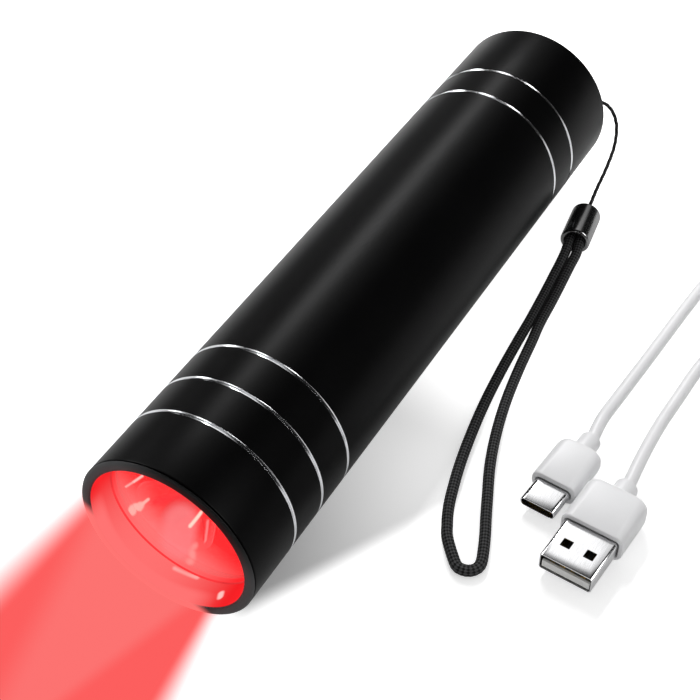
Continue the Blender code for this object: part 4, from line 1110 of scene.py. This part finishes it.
class WAND_OT_plugs(bpy.types.Operator):
    """Make the two plugs of the charging lead"""

    bl_idname = "wand.make_plugs"
    bl_label = "Plugs"

    def execute(self, context):
        lead = context.scene.wand_lead
        white = moulded("grip_plastic", lead.plastic_color, rough=0.4, sink=0.03)
        nickel = plated("nickel_plate", (0.74, 0.74, 0.75))
        gold = plated("contact_gold", (0.85, 0.62, 0.25), rough=0.2)
        dark = moulded("core_plastic", (0.02, 0.02, 0.02), rough=0.4)
        place, can = self.place(C_TIP, C_TURN), (0.004125, 0.0012, 0.0011)
        shell = self.shell("usb_c_can", place, can, nickel, length=0.00725)
        put(shell, "charging_lead", "plated_steel", "usb_c_shell")
        grip = self.grip("usb_c_handle", place, (0.0053, 0.0028, 0.00235), can, white,
                         start=0.00665, neck=0.0024, neck_length=0.0045)
        put(grip, "charging_lead", "white_plastic", "usb_c_grip")
        dress(dark, "usb_c_core")
        for side, name in ((1, "upper"), (-1, "lower")):
            row = pads(f"usb_c_pads_{name}",
                       place @ Matrix.Translation((-0.0026, 0.0, side * 0.00078)),
                       gold, count=12, step=0.0005, size=(0.0034, 0.00026, 0.00014))
            put(row, "charging_lead", "brass")
        place, can = self.place(A_TIP, A_TURN), (0.006, 0.00225, 0.0007)
        shell = self.shell("usb_a_can", place, can, nickel, length=0.0116)
        self.windows(shell, place)
        put(shell, "charging_lead", "plated_steel", "usb_a_shell")
        grip = self.grip("usb_a_handle", place, (0.0071, 0.0037, 0.0024), can, white,
                         start=0.0110, neck=0.0026, neck_length=0.0040)
        put(grip, "charging_lead", "white_plastic", "usb_a_grip")
        forward = place.to_3x3() @ Vector((1.0, 0.0, 0.0))
        dress(insulator("insulator_plastic", (0.8, 0.8, 0.78), place @ Vector((-0.0005, 0.0, 0.0)),
                        forward), "usb_a_block")
        row = pads("usb_a_pads", place @ Matrix.Translation((-0.0042, 0.0, 0.00022)), gold,
                   count=4, step=0.0023, size=(0.0066, 0.0011, 0.00016))
        put(row, "charging_lead", "brass")
        return {"FINISHED"}

    def place(self, tip, turn):
        return Matrix.Translation(tip) @ Matrix.Rotation(turn - pi, 4, "Z")

    def loft(self, name, place, sections, finishes=()):
        """A piece over rounded sections, each its distance behind the plug's tip and its size."""
        rows = [[tuple(place @ Vector((-back, y, z))) for y, z in outline(*size)]
                for back, *size in sections]
        return lofted(name, rows, finishes)

    def shell(self, name, place, can, finish, length):
        lip = SHELL_WALL * 0.4
        sections = [(length, *can), (lip, *can), (lip * 0.3, *inset(can, lip * 0.3, 0.0)),
                    (0.0, *inset(can, lip)), (0.0, *inset(can, SHELL_WALL * 0.8)),
                    (SHELL_WALL * 0.3, *inset(can, SHELL_WALL)),
                    (length - SHELL_HOLD, *inset(can, SHELL_WALL))]
        return self.loft(name, place, sections, [finish])

    def windows(self, can, place):
        """The two spring windows, which go through both flat sides of the shell."""
        tools, back, half, corner, reach = [], 0.0052, 0.0011, 0.00015, 0.004
        for middle in (-0.00265, 0.00265):
            rows = [[tuple(place @ Vector((x - back, middle + y, z)))
                     for x, y in outline(half, half, corner)] for z in (-reach, reach)]
            tools.append(lofted("window_tool", rows))
        cut(can, tools)

    def grip(self, name, place, body, can, finish, start, neck, neck_length):
        """The moulded grip, with a round neck at its end and a pocket for the shell."""
        half_width, half_height, corner = body
        end, shoulder, narrowing, pocket_depth = start + GRIP_LENGTH, 0.0022, 0.55, 0.0009
        sections = [(start + back, *inset(body, by, 0.0))
                    for back, by in ((0.0, 0.0003), (0.00008, 0.00012), (0.0003, 0.0))]
        for t in (0.0, 0.25, 0.5, 0.7, 0.85, 0.95, 1.0):
            back = end - shoulder * (1 - t)
            pull = 1.0 - (1.0 - t ** 3) ** (1 / 3)
            sections.append((back, half_width - pull * (half_width - neck) * narrowing,
                             half_height - pull * (half_height - neck) * narrowing, corner))
        for back, by in ((0.0, 0.0), (neck_length - 0.0005, 0.0),
                         (neck_length - 0.00015, 0.00012), (neck_length, 0.0004)):
            sections.append((end + back, neck - by, neck - by, neck))
        pocket = inset(can, -SHELL_GAP)
        tool = self.loft("pocket_tool", place, [(start - PAST, *pocket),
                                                (start + pocket_depth, *pocket)])
        return cut(self.loft(name, place, sections, [finish]), [tool])


class WAND_OT_flap(bpy.types.Operator):
    """Dress the rubber flap of the charging socket"""

    bl_idname = "wand.make_flap"
    bl_label = "Port flap"

    def execute(self, context):
        black = rubber("flap_rubber", (0.006, 0.006, 0.006))
        inner, plug_reach, overlap = BODY_RADIUS - 0.0006, 0.0009, 0.0003
        cover = flap_patch("flap_cover", inner, BODY_RADIUS, (0.0045, 0.0070, 0.0008), [black])
        plug = flap_patch("flap_plug", inner - plug_reach, inner + overlap,
                          (0.00175, 0.0046, 0.0004))
        cut(cover, [plug], "UNION")
        put(cover, "flap", "black_rubber", "port_flap")
        return {"FINISHED"}


class WAND_OT_inside(bpy.types.Operator):
    """Dress the pieces inside the body"""

    bl_idname = "wand.dress_inside"
    bl_label = "Inner pieces"

    def execute(self, context):
        green = solder_mask("green_mask", (0.015, 0.10, 0.04))
        brass = plated("brass_plate", (0.72, 0.52, 0.22), rough=0.24)
        steel = plated("steel_plate", (0.7, 0.7, 0.71), rough=0.2)
        dress(green, "driver_board", "contact_board", "switch_board")
        dress(solder_mask("white_mask", (0.55, 0.55, 0.53)), "led_board")
        dress(brass, "positive_contact", "battery_spring", "switch_retainer")
        dress(steel, "board_screw_1", "board_screw_2", "usb_socket")
        dress(turned_metal("sink_metal", (0.72, 0.73, 0.75), rough=0.3), "heat_sink")
        dress(moulded("red_wire", (0.5, 0.02, 0.02)), "led_wire_red")
        dress(moulded("black_wire", (0.02, 0.02, 0.02)), "led_wire_black")
        dress(moulded("inner_white", (0.75, 0.75, 0.74)), "board_spacer", "switch_plunger")
        dress(moulded("inner_black", (0.02, 0.02, 0.02)), "switch_body")
        dress(rubber("seal_rubber", (0.015, 0.015, 0.015)), "tail_o_ring")
        dress(sleeve("cell_film", (0.05, 0.12, 0.3)), "battery_cell")
        return {"FINISHED"}


class WAND_PT_panel(bpy.types.Panel):
    """Buttons that make the wand's pieces"""

    bl_label = "Red light wand"
    bl_idname = "WAND_PT_panel"
    bl_space_type = "VIEW_3D"
    bl_region_type = "UI"
    bl_category = "Wand"

    def draw(self, context):
        for group in GROUPS:
            settings, box = getattr(context.scene, group), self.layout.box()
            for name in settings.__annotations__:
                box.prop(settings, name)
        for maker in MAKERS:
            self.layout.operator(maker.bl_idname)


GROUPS = {"wand_sizes": WandSizes, "wand_strap": StrapSizes, "wand_lead": LeadSizes,
          "wand_stage": StageSettings}
MAKERS = (WAND_OT_stage, WAND_OT_cords, WAND_OT_body, WAND_OT_head, WAND_OT_tail, WAND_OT_bead,
          WAND_OT_plugs, WAND_OT_flap, WAND_OT_inside)


def register():
    for kind in (*GROUPS.values(), *MAKERS, WAND_PT_panel):
        bpy.utils.register_class(kind)
    for name, kind in GROUPS.items():
        setattr(bpy.types.Scene, name, PointerProperty(type=kind))


def unregister():
    for name in GROUPS:
        delattr(bpy.types.Scene, name)
    for kind in reversed((*GROUPS.values(), *MAKERS, WAND_PT_panel)):
        bpy.utils.unregister_class(kind)


def main():
    register()
    for maker in MAKERS:
        group, name = maker.bl_idname.split(".")
        getattr(getattr(bpy.ops, group), name)()


if __name__ == "__main__":
    main()
